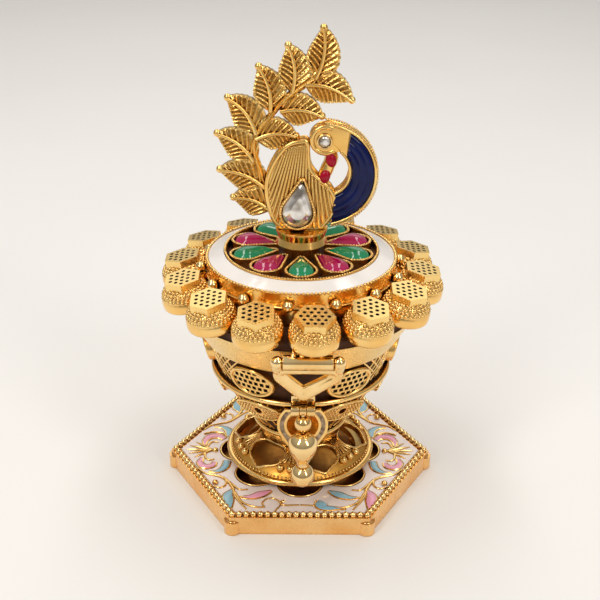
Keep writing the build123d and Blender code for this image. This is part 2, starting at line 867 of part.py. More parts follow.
# Pear bezels, points towards the finial
with BuildSketch() as bezel_outer:
    pear_outline((jewel_circle, 0), bezel_radius, (bezel_tip_circle, 0), bezel_tip_radius)
with BuildSketch() as bezel_inner:
    pear_outline(
        (jewel_circle, 0), bezel_radius - bezel_wall, (bezel_tip_circle, 0), bezel_tip_radius - bezel_wall
    )
with BuildSketch() as stone_outline:
    pear_outline(
        (jewel_circle, 0),
        bezel_radius - bezel_wall - stone_gap,
        (bezel_tip_circle, 0),
        bezel_tip_radius - bezel_wall - stone_gap,
    )
with BuildPart() as jewel_bezels:
    with BuildSketch(Plane.XY.offset(jewel_z)):
        with PolarLocations(0, jewel_count, start_angle=-90):
            add(bezel_outer.sketch)
        with PolarLocations(0, jewel_count, start_angle=-90):
            add(bezel_inner.sketch, mode=Mode.SUBTRACT)
    extrude(amount=bezel_height)
finish(jewel_bezels, "jewel_bezels")

# Pear cabochons, green and magenta in turn
stone_top = jewel_z + stone_lift + stone_height
with BuildPart() as cabochon:
    with BuildSketch(Plane.XY.offset(jewel_z + stone_lift)):
        add(stone_outline.sketch)
    extrude(amount=stone_height)
    with Locations((stone_dome_circle, 0, stone_top - stone_dome_radius)):
        Sphere(stone_dome_radius, mode=Mode.INTERSECT)
for label, first in (("green_stones", 0), ("magenta_stones", 1)):
    with BuildPart() as stones:
        with PolarLocations(0, jewel_count // 2, start_angle=-90 + first * 360 / jewel_count):
            add(cabochon.part)
    finish(stones, label)

# Finial collar on its stem, with the stud and nut that hold it
with BuildPart() as finial_collar:
    bore = stud_radius + fixed_gap
    ring_z = collar_z + collar_stem_height
    with BuildSketch(Plane.XZ):
        with BuildLine():
            Polyline(
                (bore, collar_z),
                (collar_stem_radius, collar_z),
                (collar_stem_radius, ring_z),
                (collar_radius, ring_z + collar_edge),
                (collar_waist_radius, ring_z + collar_height / 2),
                (collar_radius, finial_z - collar_edge),
                (collar_radius, finial_z),
                (bore, finial_z),
                close=True,
            )
        make_face()
    revolve(axis=Axis.Z)
finish(finial_collar, "finial_collar")

with BuildPart() as finial_stud:
    with BuildSketch(Plane.XY.offset(floor_z - stud_nut_height - stud_radius / 2)):
        Circle(stud_radius)
    extrude(amount=finial_z - fixed_gap - floor_z + stud_nut_height + stud_radius / 2)
finish(finial_stud, "finial_stud")

with BuildPart() as finial_nut:
    with BuildSketch(Plane.XY.offset(floor_z - stud_nut_height)):
        RegularPolygon(stud_nut_radius, 6)
        Circle(stud_radius + fixed_gap, mode=Mode.SUBTRACT)
    extrude(amount=stud_nut_height)
finish(finial_nut, "finial_nut")



# Peacock outline: X across, height above the finial's foot
leaves = (
    ((2.3, 28.6), (3.8, 38.2)),
    ((-1.9, 26.0), (-2.6, 35.1)),
    ((-5.8, 22.5), (-8.0, 31.3)),
    ((-8.4, 18.3), (-13.9, 25.5)),
    ((-8.9, 13.2), (-16.1, 18.7)),
    ((-6.9, 8.0), (-15.9, 11.6)),
    ((-5.9, 3.4), (-13.5, 6.1)),
    ((0.5, 27.5), (9.6, 24.3)),
    ((-4.0, 22.5), (4.3, 21.5)),
    ((-8.5, 17.3), (-0.4, 17.9)),
)
stem_points = ((-6.6, 8.0), (-8.8, 14.9), (-8.1, 18.5), (-5.7, 21.7), (-2.2, 25.6), (2.4, 28.8))
body_tip = (0.9, 17.2)
body_left = ((-2.8, 16.2), (-5.7, 11.8), (-6.5, 7.6), (-5.4, 2.3), (-3.6, 0.1))
body_right = ((3.6, 0.1), (5.9, 3.4), (6.0, 6.2), (4.9, 8.3), (1.5, 11.8))
belly_middle = (-0.15, 5.4)
belly_tip = (0.2, 14.4)
head_x, head_rise = 4.3, 17.4
neck_outer = ((4.4, 20.4), (13.7, 11.8), (5.6, 1.0))
neck_inner = ((7.1, 15.2), (8.9, 11.8), (6.1, 7.0))
wattle_points = ((5.2, 14.8), (4.9, 12.4), (3.9, 9.6))
wattle_cells = ((5.2, 13.5, 100.0), (4.1, 10.3, 65.0))
pear_middle = (-0.8, 3.15)
pear_tip = (0.1, 8.65)
eye_middle = (4.1, 17.3)
finial_plane = Plane(origin=(0, 0, finial_z), x_dir=(1, 0, 0), z_dir=(0, -1, 0))


def leaf_outline(base, tip):
    """A broad leaf between its base and its tip."""
    dx, dz = tip[0] - base[0], tip[1] - base[1]
    length = sqrt(dx**2 + dz**2)
    side = (-dz / length * leaf_swell, dx / length * leaf_swell)
    middle = (base[0] + dx * leaf_belly, base[1] + dz * leaf_belly)
    ThreePointArc(base, (middle[0] + side[0], middle[1] + side[1]), tip)
    ThreePointArc(tip, (middle[0] - side[0], middle[1] - side[1]), base)


def body_outline():
    """The pear-shaped body with its flat foot."""
    Spline(body_tip, *body_left)
    Line(body_left[-1], body_right[0])
    Spline(*body_right, body_tip)


def neck_outline(inset):
    """Crescent neck, with its edges moved in by a rim's width."""
    (ax, az), (bx, bz), (cx, cz) = neck_outer
    (dx, dz), (ex, ez), (fx, fz) = neck_inner
    ThreePointArc((ax + inset, az - inset), (bx - inset, bz), (cx + inset, cz + inset))
    Line((cx + inset, cz + inset), (fx + inset, fz - inset))
    ThreePointArc((fx + inset, fz - inset), (ex + inset, ez), (dx + inset, dz + inset))
    Line((dx + inset, dz + inset), (ax + inset, az - inset))


with BuildPart() as peacock_casting:
    with BuildSketch(finial_plane):
        for base, tip in leaves:
            with BuildLine():
                leaf_outline(base, tip)
            make_face()
        with BuildLine():
            body_outline()
        make_face()
        with BuildLine():
            neck_outline(0)
        make_face()
        with Locations((head_x, head_rise)):
            Circle(head_radius)
    extrude(amount=spray_half, both=True)
    with BuildSketch(finial_plane):
        with BuildLine():
            stem = Spline(*stem_points)
        trace(stem, stem_width)
    extrude(amount=stem_half, both=True)
    with BuildSketch(finial_plane):
        with BuildLine():
            body_outline()
        make_face()
    extrude(amount=body_half - body_bevel, both=True)
    with BuildSketch(finial_plane):
        pear_outline(belly_middle, belly_radius, belly_tip, belly_tip_radius)
    extrude(amount=body_half, both=True)
    with BuildSketch(finial_plane):
        with Locations((head_x, head_rise)):
            Circle(head_radius)
    extrude(amount=head_half - head_bevel, both=True)
    with BuildSketch(finial_plane):
        with Locations((head_x, head_rise)):
            Circle(head_radius - head_bevel)
    extrude(amount=head_half, both=True)
    with BuildSketch(finial_plane):
        with BuildLine():
            wattle = Spline(*wattle_points)
        trace(wattle, wattle_width)
    extrude(amount=spray_half, both=True)
    with BuildSketch(Plane.XY.offset(finial_z)):
        Circle(finial_foot_radius)
    extrude(amount=finial_foot_height)
finish(peacock_casting, "peacock_casting")

# Dark blue enamel on both faces of the neck
with BuildPart() as neck_enamel:
    for side in (1, -1):
        with BuildSketch(finial_plane.offset(side * spray_half)):
            with BuildLine():
                neck_outline(neck_rim)
            make_face()
            with Locations((head_x, head_rise)):
                Circle(head_radius + fixed_gap, mode=Mode.SUBTRACT)
        extrude(amount=side * (neck_enamel_half - spray_half))
finish(neck_enamel, "neck_enamel")

# Red enamel cells on both faces of the wattle
with BuildPart() as wattle_enamel:
    for side in (1, -1):
        with BuildSketch(finial_plane.offset(side * spray_half)):
            for x, z, turn in wattle_cells:
                with Locations(Location((x, z, 0), (0, 0, turn))):
                    Ellipse(wattle_cell_length / 2, wattle_cell_width / 2)
            with Locations((head_x, head_rise)):
                Circle(head_radius + fixed_gap, mode=Mode.SUBTRACT)
            with BuildLine():
                body_outline()
            make_face(mode=Mode.SUBTRACT)
        extrude(amount=side * (wattle_half - spray_half))
finish(wattle_enamel, "wattle_enamel")

# Pear crystal in its bezel on the front of the body
with BuildPart() as body_bezel:
    with BuildSketch(finial_plane.offset(body_half)):
        pear_outline(pear_middle, pear_radius, pear_tip, pear_tip_radius)
    extrude(amount=pear_bezel_depth)
    with BuildSketch(finial_plane.offset(body_half)):
        pear_outline(pear_middle, pear_radius - pear_wall, pear_tip, pear_tip_radius - pear_wall)
    extrude(amount=pear_bezel_depth, mode=Mode.SUBTRACT)
finish(body_bezel, "body_bezel")

pear_inset = pear_wall + stone_gap
with BuildPart() as body_stone:
    with BuildSketch(finial_plane.offset(body_half)):
        pear_outline(pear_middle, pear_radius - pear_inset, pear_tip, pear_tip_radius - pear_inset)
    extrude(amount=pear_bezel_depth)
    with BuildSketch(finial_plane.offset(body_half + pear_bezel_depth)):
        pear_outline(pear_middle, pear_radius - pear_inset, pear_tip, pear_tip_radius - pear_inset)
    extrude(amount=pear_stone_depth - pear_bezel_depth, taper=pear_taper)
finish(body_stone, "body_stone")

# Eye crystal in its bezel on the head
with BuildPart() as eye_bezel:
    with BuildSketch(finial_plane.offset(head_half)):
        with Locations(eye_middle):
            Circle(eye_radius + eye_bezel_wall)
            Circle(eye_radius, mode=Mode.SUBTRACT)
    extrude(amount=eye_bezel_depth)
finish(eye_bezel, "eye_bezel")

with BuildPart() as eye_stone:
    with BuildSketch(finial_plane.offset(head_half)):
        with Locations(eye_middle):
            Circle(eye_radius - fixed_gap)
    extrude(amount=eye_bezel_depth)
    with BuildSketch(finial_plane.offset(head_half + eye_bezel_depth)):
        with Locations(eye_middle):
            Circle(eye_radius - fixed_gap)
    extrude(amount=eye_stone_depth - eye_bezel_depth, taper=eye_taper)
finish(eye_stone, "eye_stone")

# Clasp tube hung from the lid's edge by a bent tab
clasp_line = Plane(origin=(clasp_x, clasp_y, clasp_z), x_dir=(0, 1, 0), z_dir=(1, 0, 0))
tab_rise = lid_z + fixed_gap + tab_thickness - clasp_z
with BuildPart() as clasp_tube:
    with BuildSketch(clasp_line.offset(-tab_half)):
        with Locations((-tab_thickness, 0)):
            Rectangle(tab_thickness, tab_rise, align=(Align.MIN, Align.MIN))
        with Locations((-tab_thickness, tab_rise)):
            Rectangle(-clasp_y - lid_radius + 2 * tab_thickness, tab_thickness, align=(Align.MIN, Align.MAX))
    extrude(amount=2 * tab_half)
    with BuildSketch(clasp_line.offset(-tube_half)):
        Circle(tube_radius)
    extrude(amount=2 * tube_half)
    with BuildSketch(clasp_line.offset(-tube_half)):
        Circle(pivot_radius + running_gap)
    extrude(amount=2 * tube_half, mode=Mode.SUBTRACT)
    with BuildSketch(Plane.XY.offset(lid_z)):
        Circle(lid_radius + fixed_gap)
    extrude(amount=cap_rise, mode=Mode.SUBTRACT)
finish(clasp_tube, "clasp_tube")

# Clasp wire and the V-shaped frame that turns on it
ear_start = tube_half + slide_gap
with BuildPart() as clasp_pivot:
    with BuildSketch(clasp_line.offset(-ear_start - ear_length - pivot_radius / 2)):
        Circle(pivot_radius)
    extrude(amount=2 * (ear_start + ear_length) + pivot_radius)
finish(clasp_pivot, "clasp_pivot")

lean_y, lean_z = -cos(radians(clasp_lean)), -sin(radians(clasp_lean))
frame_plane = Plane(origin=(clasp_x, clasp_y, clasp_z), x_dir=(1, 0, 0), z_dir=(0, lean_y, lean_z))


def clasp_triangle(half_width, top, tip_x, tip, corner, point):
    """A triangle on its point with rounded corners."""
    with Locations((-half_width + corner, -top - corner), (half_width - corner, -top - corner)):
        Circle(corner)
    with Locations((tip_x, -tip + point)):
        Circle(point)
    make_hull()


with BuildPart() as clasp_frame:
    with BuildSketch(frame_plane.offset(-clasp_thickness / 2)):
        clasp_triangle(clasp_half_width, clasp_top, clasp_tip_x, clasp_length, clasp_corner, clasp_point)
    extrude(amount=clasp_thickness)
    with BuildSketch(frame_plane.offset(clasp_thickness / 2 - clasp_step)):
        clasp_triangle(step_half_width, step_top, clasp_tip_x, step_tip, window_corner, window_corner)
    extrude(amount=clasp_step, mode=Mode.SUBTRACT)
    with BuildSketch(frame_plane.offset(-clasp_thickness / 2)):
        clasp_triangle(window_half_width, window_top, clasp_tip_x, window_tip, window_corner, window_corner)
    extrude(amount=clasp_thickness, mode=Mode.SUBTRACT)
    for side in (1, -1):
        with BuildSketch(frame_plane.offset(-clasp_thickness / 2)):
            with Locations((side * (ear_start + ear_length / 2), 0)):
                Rectangle(ear_length, clasp_top + clasp_corner, align=(Align.CENTER, Align.MAX))
        extrude(amount=clasp_thickness)
        with BuildSketch(clasp_line.offset(side * ear_start)):
            Circle(tube_radius)
        extrude(amount=side * ear_length)
    with BuildSketch(clasp_line.offset(-ear_start - ear_length)):
        Circle(pivot_radius + fixed_gap)
    extrude(amount=2 * (ear_start + ear_length), mode=Mode.SUBTRACT)
finish(clasp_frame, "clasp_frame")

# Catch below the clasp: a notched block with two lugs, soldered to the bowl's ring
drop_z = mid_ring_z + drop_rise
drop_y = -mid_ring_radius - drop_stand
catch_rear = -mid_ring_radius - ring_wire - fixed_gap
catch_low = mid_ring_z - ring_wire
drop_line = Plane(origin=(drop_x, drop_y, drop_z), x_dir=(0, 1, 0), z_dir=(1, 0, 0))
lug_reach = catch_rear - catch_back / 2 - drop_y
with BuildPart() as clasp_catch:
    with BuildSketch(Plane.XZ.offset(-catch_rear)):
        with BuildLine():
            Polyline(
                (drop_x - catch_half, catch_low),
                (drop_x + catch_half, catch_low),
                (drop_x + catch_half, catch_low + catch_height + horn_height),
                (drop_x + catch_half - horn_width, catch_low + catch_height + horn_height),
                (drop_x, catch_low + catch_height),
                (drop_x - catch_half + horn_width, catch_low + catch_height + horn_height),
                (drop_x - catch_half, catch_low + catch_height + horn_height),
                close=True,
            )
        make_face()
    extrude(amount=catch_back)
    for side in (1, -1):
        with BuildSketch(drop_line.offset(side * catch_slot / 2)):
            Circle(catch_lug_radius)
            Rectangle(lug_reach, 2 * catch_lug_radius, align=(Align.MIN, Align.CENTER))
        extrude(amount=side * (catch_half - catch_slot / 2))
    with BuildSketch(drop_line.offset(-catch_half)):
        Circle(cross_wire_radius + fixed_gap)
    extrude(amount=2 * catch_half, mode=Mode.SUBTRACT)
finish(clasp_catch, "clasp_catch")

with BuildPart() as catch_pivot:
    with BuildSketch(drop_line.offset(-catch_half - cross_wire_radius / 2)):
        Circle(cross_wire_radius)
    extrude(amount=2 * catch_half + cross_wire_radius)
finish(catch_pivot, "catch_pivot")

# Teardrop plate under the catch, with a dish behind the drop and a dark inlay round it
plate_middle = (plate_x, mid_ring_z - plate_below_ring)
plate_tip = (plate_x, mid_ring_z - plate_below_ring - plate_tip_drop + plate_tip_radius)
plate_top = catch_low - fixed_gap
plate_front = -mid_ring_radius - plate_stand
plate_plane = Plane.XZ.offset(-plate_front)


def inlay_outline():
    """The dark inlay: a teardrop inside the plate's edge, open round the dish."""
    pear_outline(plate_middle, plate_radius - plate_edge, plate_tip, plate_tip_radius)
    with Locations(plate_middle):
        Circle(dish_radius + plate_edge, mode=Mode.SUBTRACT)
    with Locations((plate_x, plate_top - plate_edge)):
        Rectangle(4 * plate_radius, plate_radius, align=(Align.CENTER, Align.MIN), mode=Mode.SUBTRACT)


with BuildPart() as drop_plate:
    with BuildSketch(plate_plane):
        pear_outline(plate_middle, plate_radius, plate_tip, plate_tip_radius + plate_edge)
        with Locations((plate_x, plate_top)):
            Rectangle(4 * plate_radius, plate_radius, align=(Align.CENTER, Align.MIN), mode=Mode.SUBTRACT)
    extrude(amount=-plate_thickness)
    with BuildSketch(plate_plane):
        inlay_outline()
    extrude(amount=-inlay_depth, mode=Mode.SUBTRACT)
    dish_ball = (dish_radius**2 + dish_depth**2) / (2 * dish_depth)
    with Locations((plate_x, plate_front - dish_ball + dish_depth, plate_middle[1])):
        Sphere(dish_ball, mode=Mode.SUBTRACT)
finish(drop_plate, "drop_plate")

with BuildPart() as drop_plate_inlay:
    with BuildSketch(plate_plane):
        inlay_outline()
    extrude(amount=-inlay_depth)
finish(drop_plate_inlay, "drop_plate_inlay")

# Bead drop on a headed pin with an eye
pear_bead_z = drop_z - pear_bead_drop
pear_bead_end = pear_bead_z - pear_bead_tail
collar_top = pear_bead_end - slide_gap
ball_z = collar_top - drop_collar_height - ball_bead_radius - slide_gap / 2
pin_end = ball_z - ball_bead_radius
with BuildPart() as drop_pin:
    with BuildSketch(drop_line.offset(-eye_loop_width / 2)):
        Circle(eye_loop_radius)
    extrude(amount=eye_loop_width)
    with BuildSketch(Plane.XY.offset(pin_end)):
        with Locations((drop_x, drop_y)):
            Circle(drop_pin_radius)
    extrude(amount=drop_z - pin_end)
    with BuildSketch(Plane.XY.offset(pin_end)):
        with Locations((drop_x, drop_y)):
            Circle(2 * drop_pin_radius)
    extrude(amount=-drop_pin_radius)
    with BuildSketch(drop_line.offset(-eye_loop_width / 2)):
        Circle(cross_wire_radius + running_gap)
    extrude(amount=eye_loop_width, mode=Mode.SUBTRACT)
finish(drop_pin, "drop_pin")

bead_bore = drop_pin_radius + fixed_gap
with BuildPart() as drop_bead_top:
    with Locations((drop_x, drop_y, drop_z - top_bead_drop)):
        Sphere(top_bead_radius)
        Cylinder(bead_bore, 2 * top_bead_radius, mode=Mode.SUBTRACT)
finish(drop_bead_top, "drop_bead_top")

# Pear bead: a ball that runs down into a cone
tail_sine = (pear_bead_radius - pear_bead_tip) / pear_bead_tail
join_r = pear_bead_radius * sqrt(1 - tail_sine**2)
join_z = pear_bead_z - pear_bead_radius * tail_sine
with BuildPart() as drop_bead_pear:
    with BuildSketch(Plane.XZ.offset(-drop_y)):
        with BuildLine():
            ThreePointArc(
                (drop_x, pear_bead_z + pear_bead_radius),
                (drop_x + pear_bead_radius, pear_bead_z),
                (drop_x + join_r, join_z),
            )
            Polyline(
                (drop_x + join_r, join_z),
                (drop_x + pear_bead_tip, pear_bead_end),
                (drop_x, pear_bead_end),
                (drop_x, pear_bead_z + pear_bead_radius),
            )
        make_face()
    revolve(axis=Axis((drop_x, drop_y, 0), (0, 0, 1)))
    with BuildSketch(Plane.XY.offset(pear_bead_end)):
        with Locations((drop_x, drop_y)):
            Circle(bead_bore)
    extrude(amount=pear_bead_tail + pear_bead_radius, mode=Mode.SUBTRACT)
finish(drop_bead_pear, "drop_bead_pear")

with BuildPart() as drop_collar:
    with BuildSketch(Plane.XY.offset(collar_top - drop_collar_height)):
        with Locations((drop_x, drop_y)):
            Circle(drop_collar_radius)
            Circle(bead_bore, mode=Mode.SUBTRACT)
    extrude(amount=drop_collar_height)
finish(drop_collar, "drop_collar")

with BuildPart() as drop_bead_ball:
    with Locations((drop_x, drop_y, ball_z)):
        Sphere(ball_bead_radius)
        Cylinder(bead_bore, 2 * ball_bead_radius, mode=Mode.SUBTRACT)
finish(drop_bead_ball, "drop_bead_ball")
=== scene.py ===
import math

import bpy
from mathutils import Matrix, Vector


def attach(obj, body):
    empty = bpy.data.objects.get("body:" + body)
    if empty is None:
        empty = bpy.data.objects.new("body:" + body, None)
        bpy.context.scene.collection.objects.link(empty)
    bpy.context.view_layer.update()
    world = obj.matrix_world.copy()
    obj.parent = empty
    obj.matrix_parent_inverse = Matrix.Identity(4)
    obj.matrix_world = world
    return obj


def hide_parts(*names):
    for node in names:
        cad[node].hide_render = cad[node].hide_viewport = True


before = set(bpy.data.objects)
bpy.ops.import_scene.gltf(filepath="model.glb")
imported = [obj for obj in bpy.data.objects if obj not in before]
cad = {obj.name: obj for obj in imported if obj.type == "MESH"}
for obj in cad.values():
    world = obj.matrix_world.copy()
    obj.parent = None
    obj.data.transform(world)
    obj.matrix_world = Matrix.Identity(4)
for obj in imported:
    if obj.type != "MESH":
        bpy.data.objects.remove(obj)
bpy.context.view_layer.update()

MM = 0.001
merge_gap = 0.003
flat_angle = 0.5
round_angle = 35
round_segments = 3
hair = 1e-6
speck = 1e-9
both = (-1, 1)
sixth = 60

# Sizes shared with the part's source
field_top = 3.9
bead_path_radius = 25.96
bowl_centre_offset = -22.618
bowl_curve_radius = 41.6
bowl_curve_height = 40.801
foot_turn = -98.6
opening_turn = -68.6
plaque_count = 6
oval_z = 29.5
oval_width = 9.6
oval_height = 6.6
oval_stand = 2.0
eye_z = 22.0
eye_width = 11.0
eye_height = 5.0
eye_stand = 1.5
cap_count = 14
cap_turn = -84.0
cap_tilt = 10.0
cap_circle = 22.5
cap_z = 41.58
finial_z = 54.4
stone_count = 10
stone_round = 11.05
stone_tip = 5.3


# Helpers
def lone(piece):
    """Leaves one piece selected and active."""
    bpy.ops.object.select_all(action="DESELECT")
    piece.select_set(True)
    bpy.context.view_layer.objects.active = piece


def added(add, **sizes):
    """A new primitive, the only piece selected."""
    bpy.ops.object.select_all(action="DESELECT")
    add(**sizes)
    return bpy.context.view_layer.objects.active


def drawn(name, vertices, faces):
    """A mesh piece from its points and faces."""
    mesh = bpy.data.meshes.new(name)
    mesh.from_pydata(vertices, [], faces)
    piece = bpy.data.objects.new(name, mesh)
    bpy.context.collection.objects.link(piece)
    return piece


def joined(pieces):
    """Several pieces as one."""
    bpy.ops.object.select_all(action="DESELECT")
    for piece in pieces:
        piece.select_set(True)
    bpy.context.view_layer.objects.active = pieces[0]
    if len(pieces) > 1:
        bpy.ops.object.join()
    return pieces[0]


def outward(piece):
    """Merges the points that meet and turns the faces outwards."""
    lone(piece)
    bpy.ops.object.mode_set(mode="EDIT")
    bpy.ops.mesh.select_all(action="SELECT")
    bpy.ops.mesh.remove_doubles(threshold=merge_gap)
    bpy.ops.mesh.normals_make_consistent(inside=False)
    bpy.ops.object.mode_set(mode="OBJECT")


def smooth(piece, angle=40):
    """Smooth shading, with edges sharper than the angle kept."""
    lone(piece)
    bpy.ops.object.shade_smooth_by_angle(angle=math.radians(angle))


def turned(name, profile, steps=48):
    """A profile of (radius, height) points spun round the Z axis."""
    mesh = bpy.data.meshes.new(name)
    mesh.from_pydata(
        [(radius, 0, height) for radius, height in profile],
        [(index, index + 1) for index in range(len(profile) - 1)],
        [],
    )
    piece = bpy.data.objects.new(name, mesh)
    bpy.context.collection.objects.link(piece)
    lone(piece)
    bpy.ops.object.mode_set(mode="EDIT")
    bpy.ops.mesh.select_all(action="SELECT")
    bpy.ops.mesh.spin(steps=steps, angle=math.tau, center=(0, 0, 0), axis=(0, 0, 1))
    bpy.ops.object.mode_set(mode="OBJECT")
    outward(piece)
    return piece


def wires(name, paths, closed=False, order=4, steps=4, sides=2):
    """Round wires along smooth paths of (x, y, z, radius) points."""
    data = bpy.data.curves.new(name, "CURVE")
    data.dimensions = "3D"
    data.bevel_depth = 1.0
    data.bevel_resolution = sides
    data.use_fill_caps = True
    for path in paths:
        spline = data.splines.new("NURBS")
        spline.points.add(len(path) - 1)
        for point, (x, y, z, radius) in zip(spline.points, path):
            point.co = (x, y, z, 1.0)
            point.radius = radius
        spline.order_u = min(order, len(path))
        spline.use_cyclic_u = closed
        spline.use_endpoint_u = not closed
        spline.resolution_u = steps
    piece = bpy.data.objects.new(name, data)
    bpy.context.collection.objects.link(piece)
    lone(piece)
    bpy.ops.object.convert(target="MESH")
    return bpy.context.view_layer.objects.active


def copies(name, pattern, places):
    """One mesh with a copy of the pattern at each place."""
    corners = [vertex.co.copy() for vertex in pattern.data.vertices]
    polygons = [tuple(face.vertices) for face in pattern.data.polygons]
    slots = [face.material_index for face in pattern.data.polygons]
    rounded = [face.use_smooth for face in pattern.data.polygons]
    vertices = []
    faces = []
    for place in places:
        start = len(vertices)
        vertices.extend(place @ corner for corner in corners)
        faces.extend(tuple(start + corner for corner in face) for face in polygons)
    piece = drawn(name, vertices, faces)
    for material in pattern.data.materials:
        piece.data.materials.append(material)
    piece.data.polygons.foreach_set("material_index", slots * len(places))
    piece.data.polygons.foreach_set("use_smooth", rounded * len(places))
    bpy.data.objects.remove(pattern)
    return piece


def beads(name, places, radius, segments=8, rings=5):
    """Small balls at the places."""
    bead = added(
        bpy.ops.mesh.primitive_uv_sphere_add, segments=segments, ring_count=rings, radius=radius
    )
    bpy.ops.object.shade_smooth()
    return copies(name, bead, [Matrix.Translation(place) for place in places])


def cut(piece, cutter):
    """Takes the cutter's shape out of a piece."""
    lone(piece)
    change = piece.modifiers.new("cut", "BOOLEAN")
    change.operation = "DIFFERENCE"
    change.solver = "MANIFOLD"
    change.object = cutter
    bpy.ops.object.modifier_apply(modifier=change.name)
    bpy.data.objects.remove(cutter)


def cad_copy(node, name, rounding=0.0):
    """A copy of a CAD node in millimetres, merged, with its sharp edges rounded."""
    piece = bpy.data.objects.new(name, cad[node].data.copy())
    bpy.context.collection.objects.link(piece)
    piece.data.transform(Matrix.Scale(1 / MM, 4))
    lone(piece)
    bpy.ops.mesh.customdata_custom_splitnormals_clear()
    outward(piece)
    bpy.ops.object.mode_set(mode="EDIT")
    bpy.ops.mesh.select_all(action="SELECT")
    bpy.ops.mesh.dissolve_limited(angle_limit=math.radians(flat_angle))
    bpy.ops.object.mode_set(mode="OBJECT")
    if rounding:
        change = piece.modifiers.new("round", "BEVEL")
        change.width = rounding
        change.segments = round_segments
        change.limit_method = "ANGLE"
        change.angle_limit = math.radians(round_angle)
        bpy.ops.object.modifier_apply(modifier=change.name)
    smooth(piece)
    return piece


def settle(piece, name, body, material, nodes=()):
    """Puts a finished piece in metres, on its body, with its finish."""
    piece.name = name
    piece.data.name = name
    piece.data.transform(Matrix.Scale(MM, 4))
    if material is not None:
        piece.data.materials.clear()
        piece.data.materials.append(material)
    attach(piece, body)
    if nodes:
        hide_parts(*nodes)


def spun(turn):
    """A turn about the Z axis, in degrees."""
    return Matrix.Rotation(math.radians(turn), 4, "Z")


def polar(turn, radius, height):
    """A point by its turn, radius and height."""
    angle = math.radians(turn)
    return Vector((radius * math.cos(angle), radius * math.sin(angle), height))


def ring_places(radius, height, count, start=0.0):
    """Places evenly round a circle."""
    return [polar(start + index * 360 / count, radius, height) for index in range(count)]


def arc_through(first, middle, last, steps):
    """Points along the circle through three points of a plane."""
    ax, ay = first
    bx, by = middle
    cx, cy = last
    span = 2 * (ax * (by - cy) + bx * (cy - ay) + cx * (ay - by))
    squares = (ax * ax + ay * ay, bx * bx + by * by, cx * cx + cy * cy)
    x = (squares[0] * (by - cy) + squares[1] * (cy - ay) + squares[2] * (ay - by)) / span
    y = (squares[0] * (cx - bx) + squares[1] * (ax - cx) + squares[2] * (bx - ax)) / span
    radius = math.hypot(ax - x, ay - y)
    angles = [math.atan2(py - y, px - x) for px, py in (first, middle, last)]
    for index in (1, 2):
        while span < 0 and angles[index] > angles[index - 1]:
            angles[index] -= math.tau
        while span > 0 and angles[index] < angles[index - 1]:
            angles[index] += math.tau
    points = []
    for step in range(steps + 1):
        angle = angles[0] + (angles[2] - angles[0]) * step / steps
        points.append((x + radius * math.cos(angle), y + radius * math.sin(angle)))
    return points


def pear(round_at, round_radius, tip_at, tip_radius, steps=24, tip_steps=6):
    """The closed outline of two circles on one axis and the lines that touch them both."""
    reach = tip_at - round_at
    side = 1 if reach > 0 else -1
    lean = math.asin((round_radius - tip_radius) / abs(reach))
    points = []
    for step in range(steps + 1):
        angle = math.pi / 2 - lean + (math.pi + 2 * lean) * step / steps
        points.append((round_at + side * round_radius * math.cos(angle), round_radius * math.sin(angle)))
    for step in range(tip_steps + 1):
        angle = lean - math.pi / 2 + (math.pi - 2 * lean) * step / tip_steps
        points.append((tip_at + side * tip_radius * math.cos(angle), tip_radius * math.sin(angle)))
    return points


def hull(points):
    """The outline of a band stretched round points of a plane."""
    spots = sorted((point[0], point[1]) for point in points)
    halves = []
    for line in (spots, spots[::-1]):
        half = []
        for x, y in line:
            while len(half) > 1:
                (ax, ay), (bx, by) = half[-2:]
                if (bx - ax) * (y - ay) - (by - ay) * (x - ax) > 0:
                    break
                half.pop()
            half.append((x, y))
        halves += half[:-1]
    return halves


def even(points, count, closed=True):
    """The same line with its points spaced evenly."""
    line = [Vector(point) for point in points]
    if closed:
        line.append(line[0].copy())
    lengths = [0.0]
    for before, after in zip(line, line[1:]):
        lengths.append(lengths[-1] + (after - before).length)
    spaced = []
    place = 0
    for index in range(count):
        target = lengths[-1] * index / (count if closed else count - 1)
        while place < len(line) - 2 and lengths[place + 1] < target:
            place += 1
        share = (target - lengths[place]) / max(lengths[place + 1] - lengths[place], speck)
        spaced.append(line[place].lerp(line[place + 1], share))
    return spaced


def flowing(points, steps=8):
    """A smooth line through points of a plane."""
    line = [Vector(point) for point in points]
    line = [2 * line[0] - line[1]] + line + [2 * line[-1] - line[-2]]
    flow = []
    for index in range(1, len(line) - 2):
        before, start, end, after = line[index - 1 : index + 3]
        for step in range(steps):
            t = step / steps
            flow.append(
                0.5
                * (
                    2 * start
                    + (end - before) * t
                    + (2 * before - 5 * start + 4 * end - after) * t * t
                    + (3 * start - before - 3 * end + after) * t**3
                )
            )
    flow.append(line[-2])
    return flow


def rim_share(point, outline, centre):
    """How far a point lies from the centre of an outline, as a share of the way to its edge."""
    ray = Vector(point) - centre
    if ray.length < hair:
        return 0.0
    best = math.inf
    for start, end in zip(outline, outline[1:] + outline[:1]):
        side = end - start
        cross = ray.x * side.y - ray.y * side.x
        if abs(cross) < speck:
            continue
        offset = start - centre
        along = (offset.x * side.y - offset.y * side.x) / cross
        across = (offset.x * ray.y - offset.y * ray.x) / cross
        if along > 0 and -hair <= across <= 1 + hair:
            best = min(best, along)
    return 1 / best


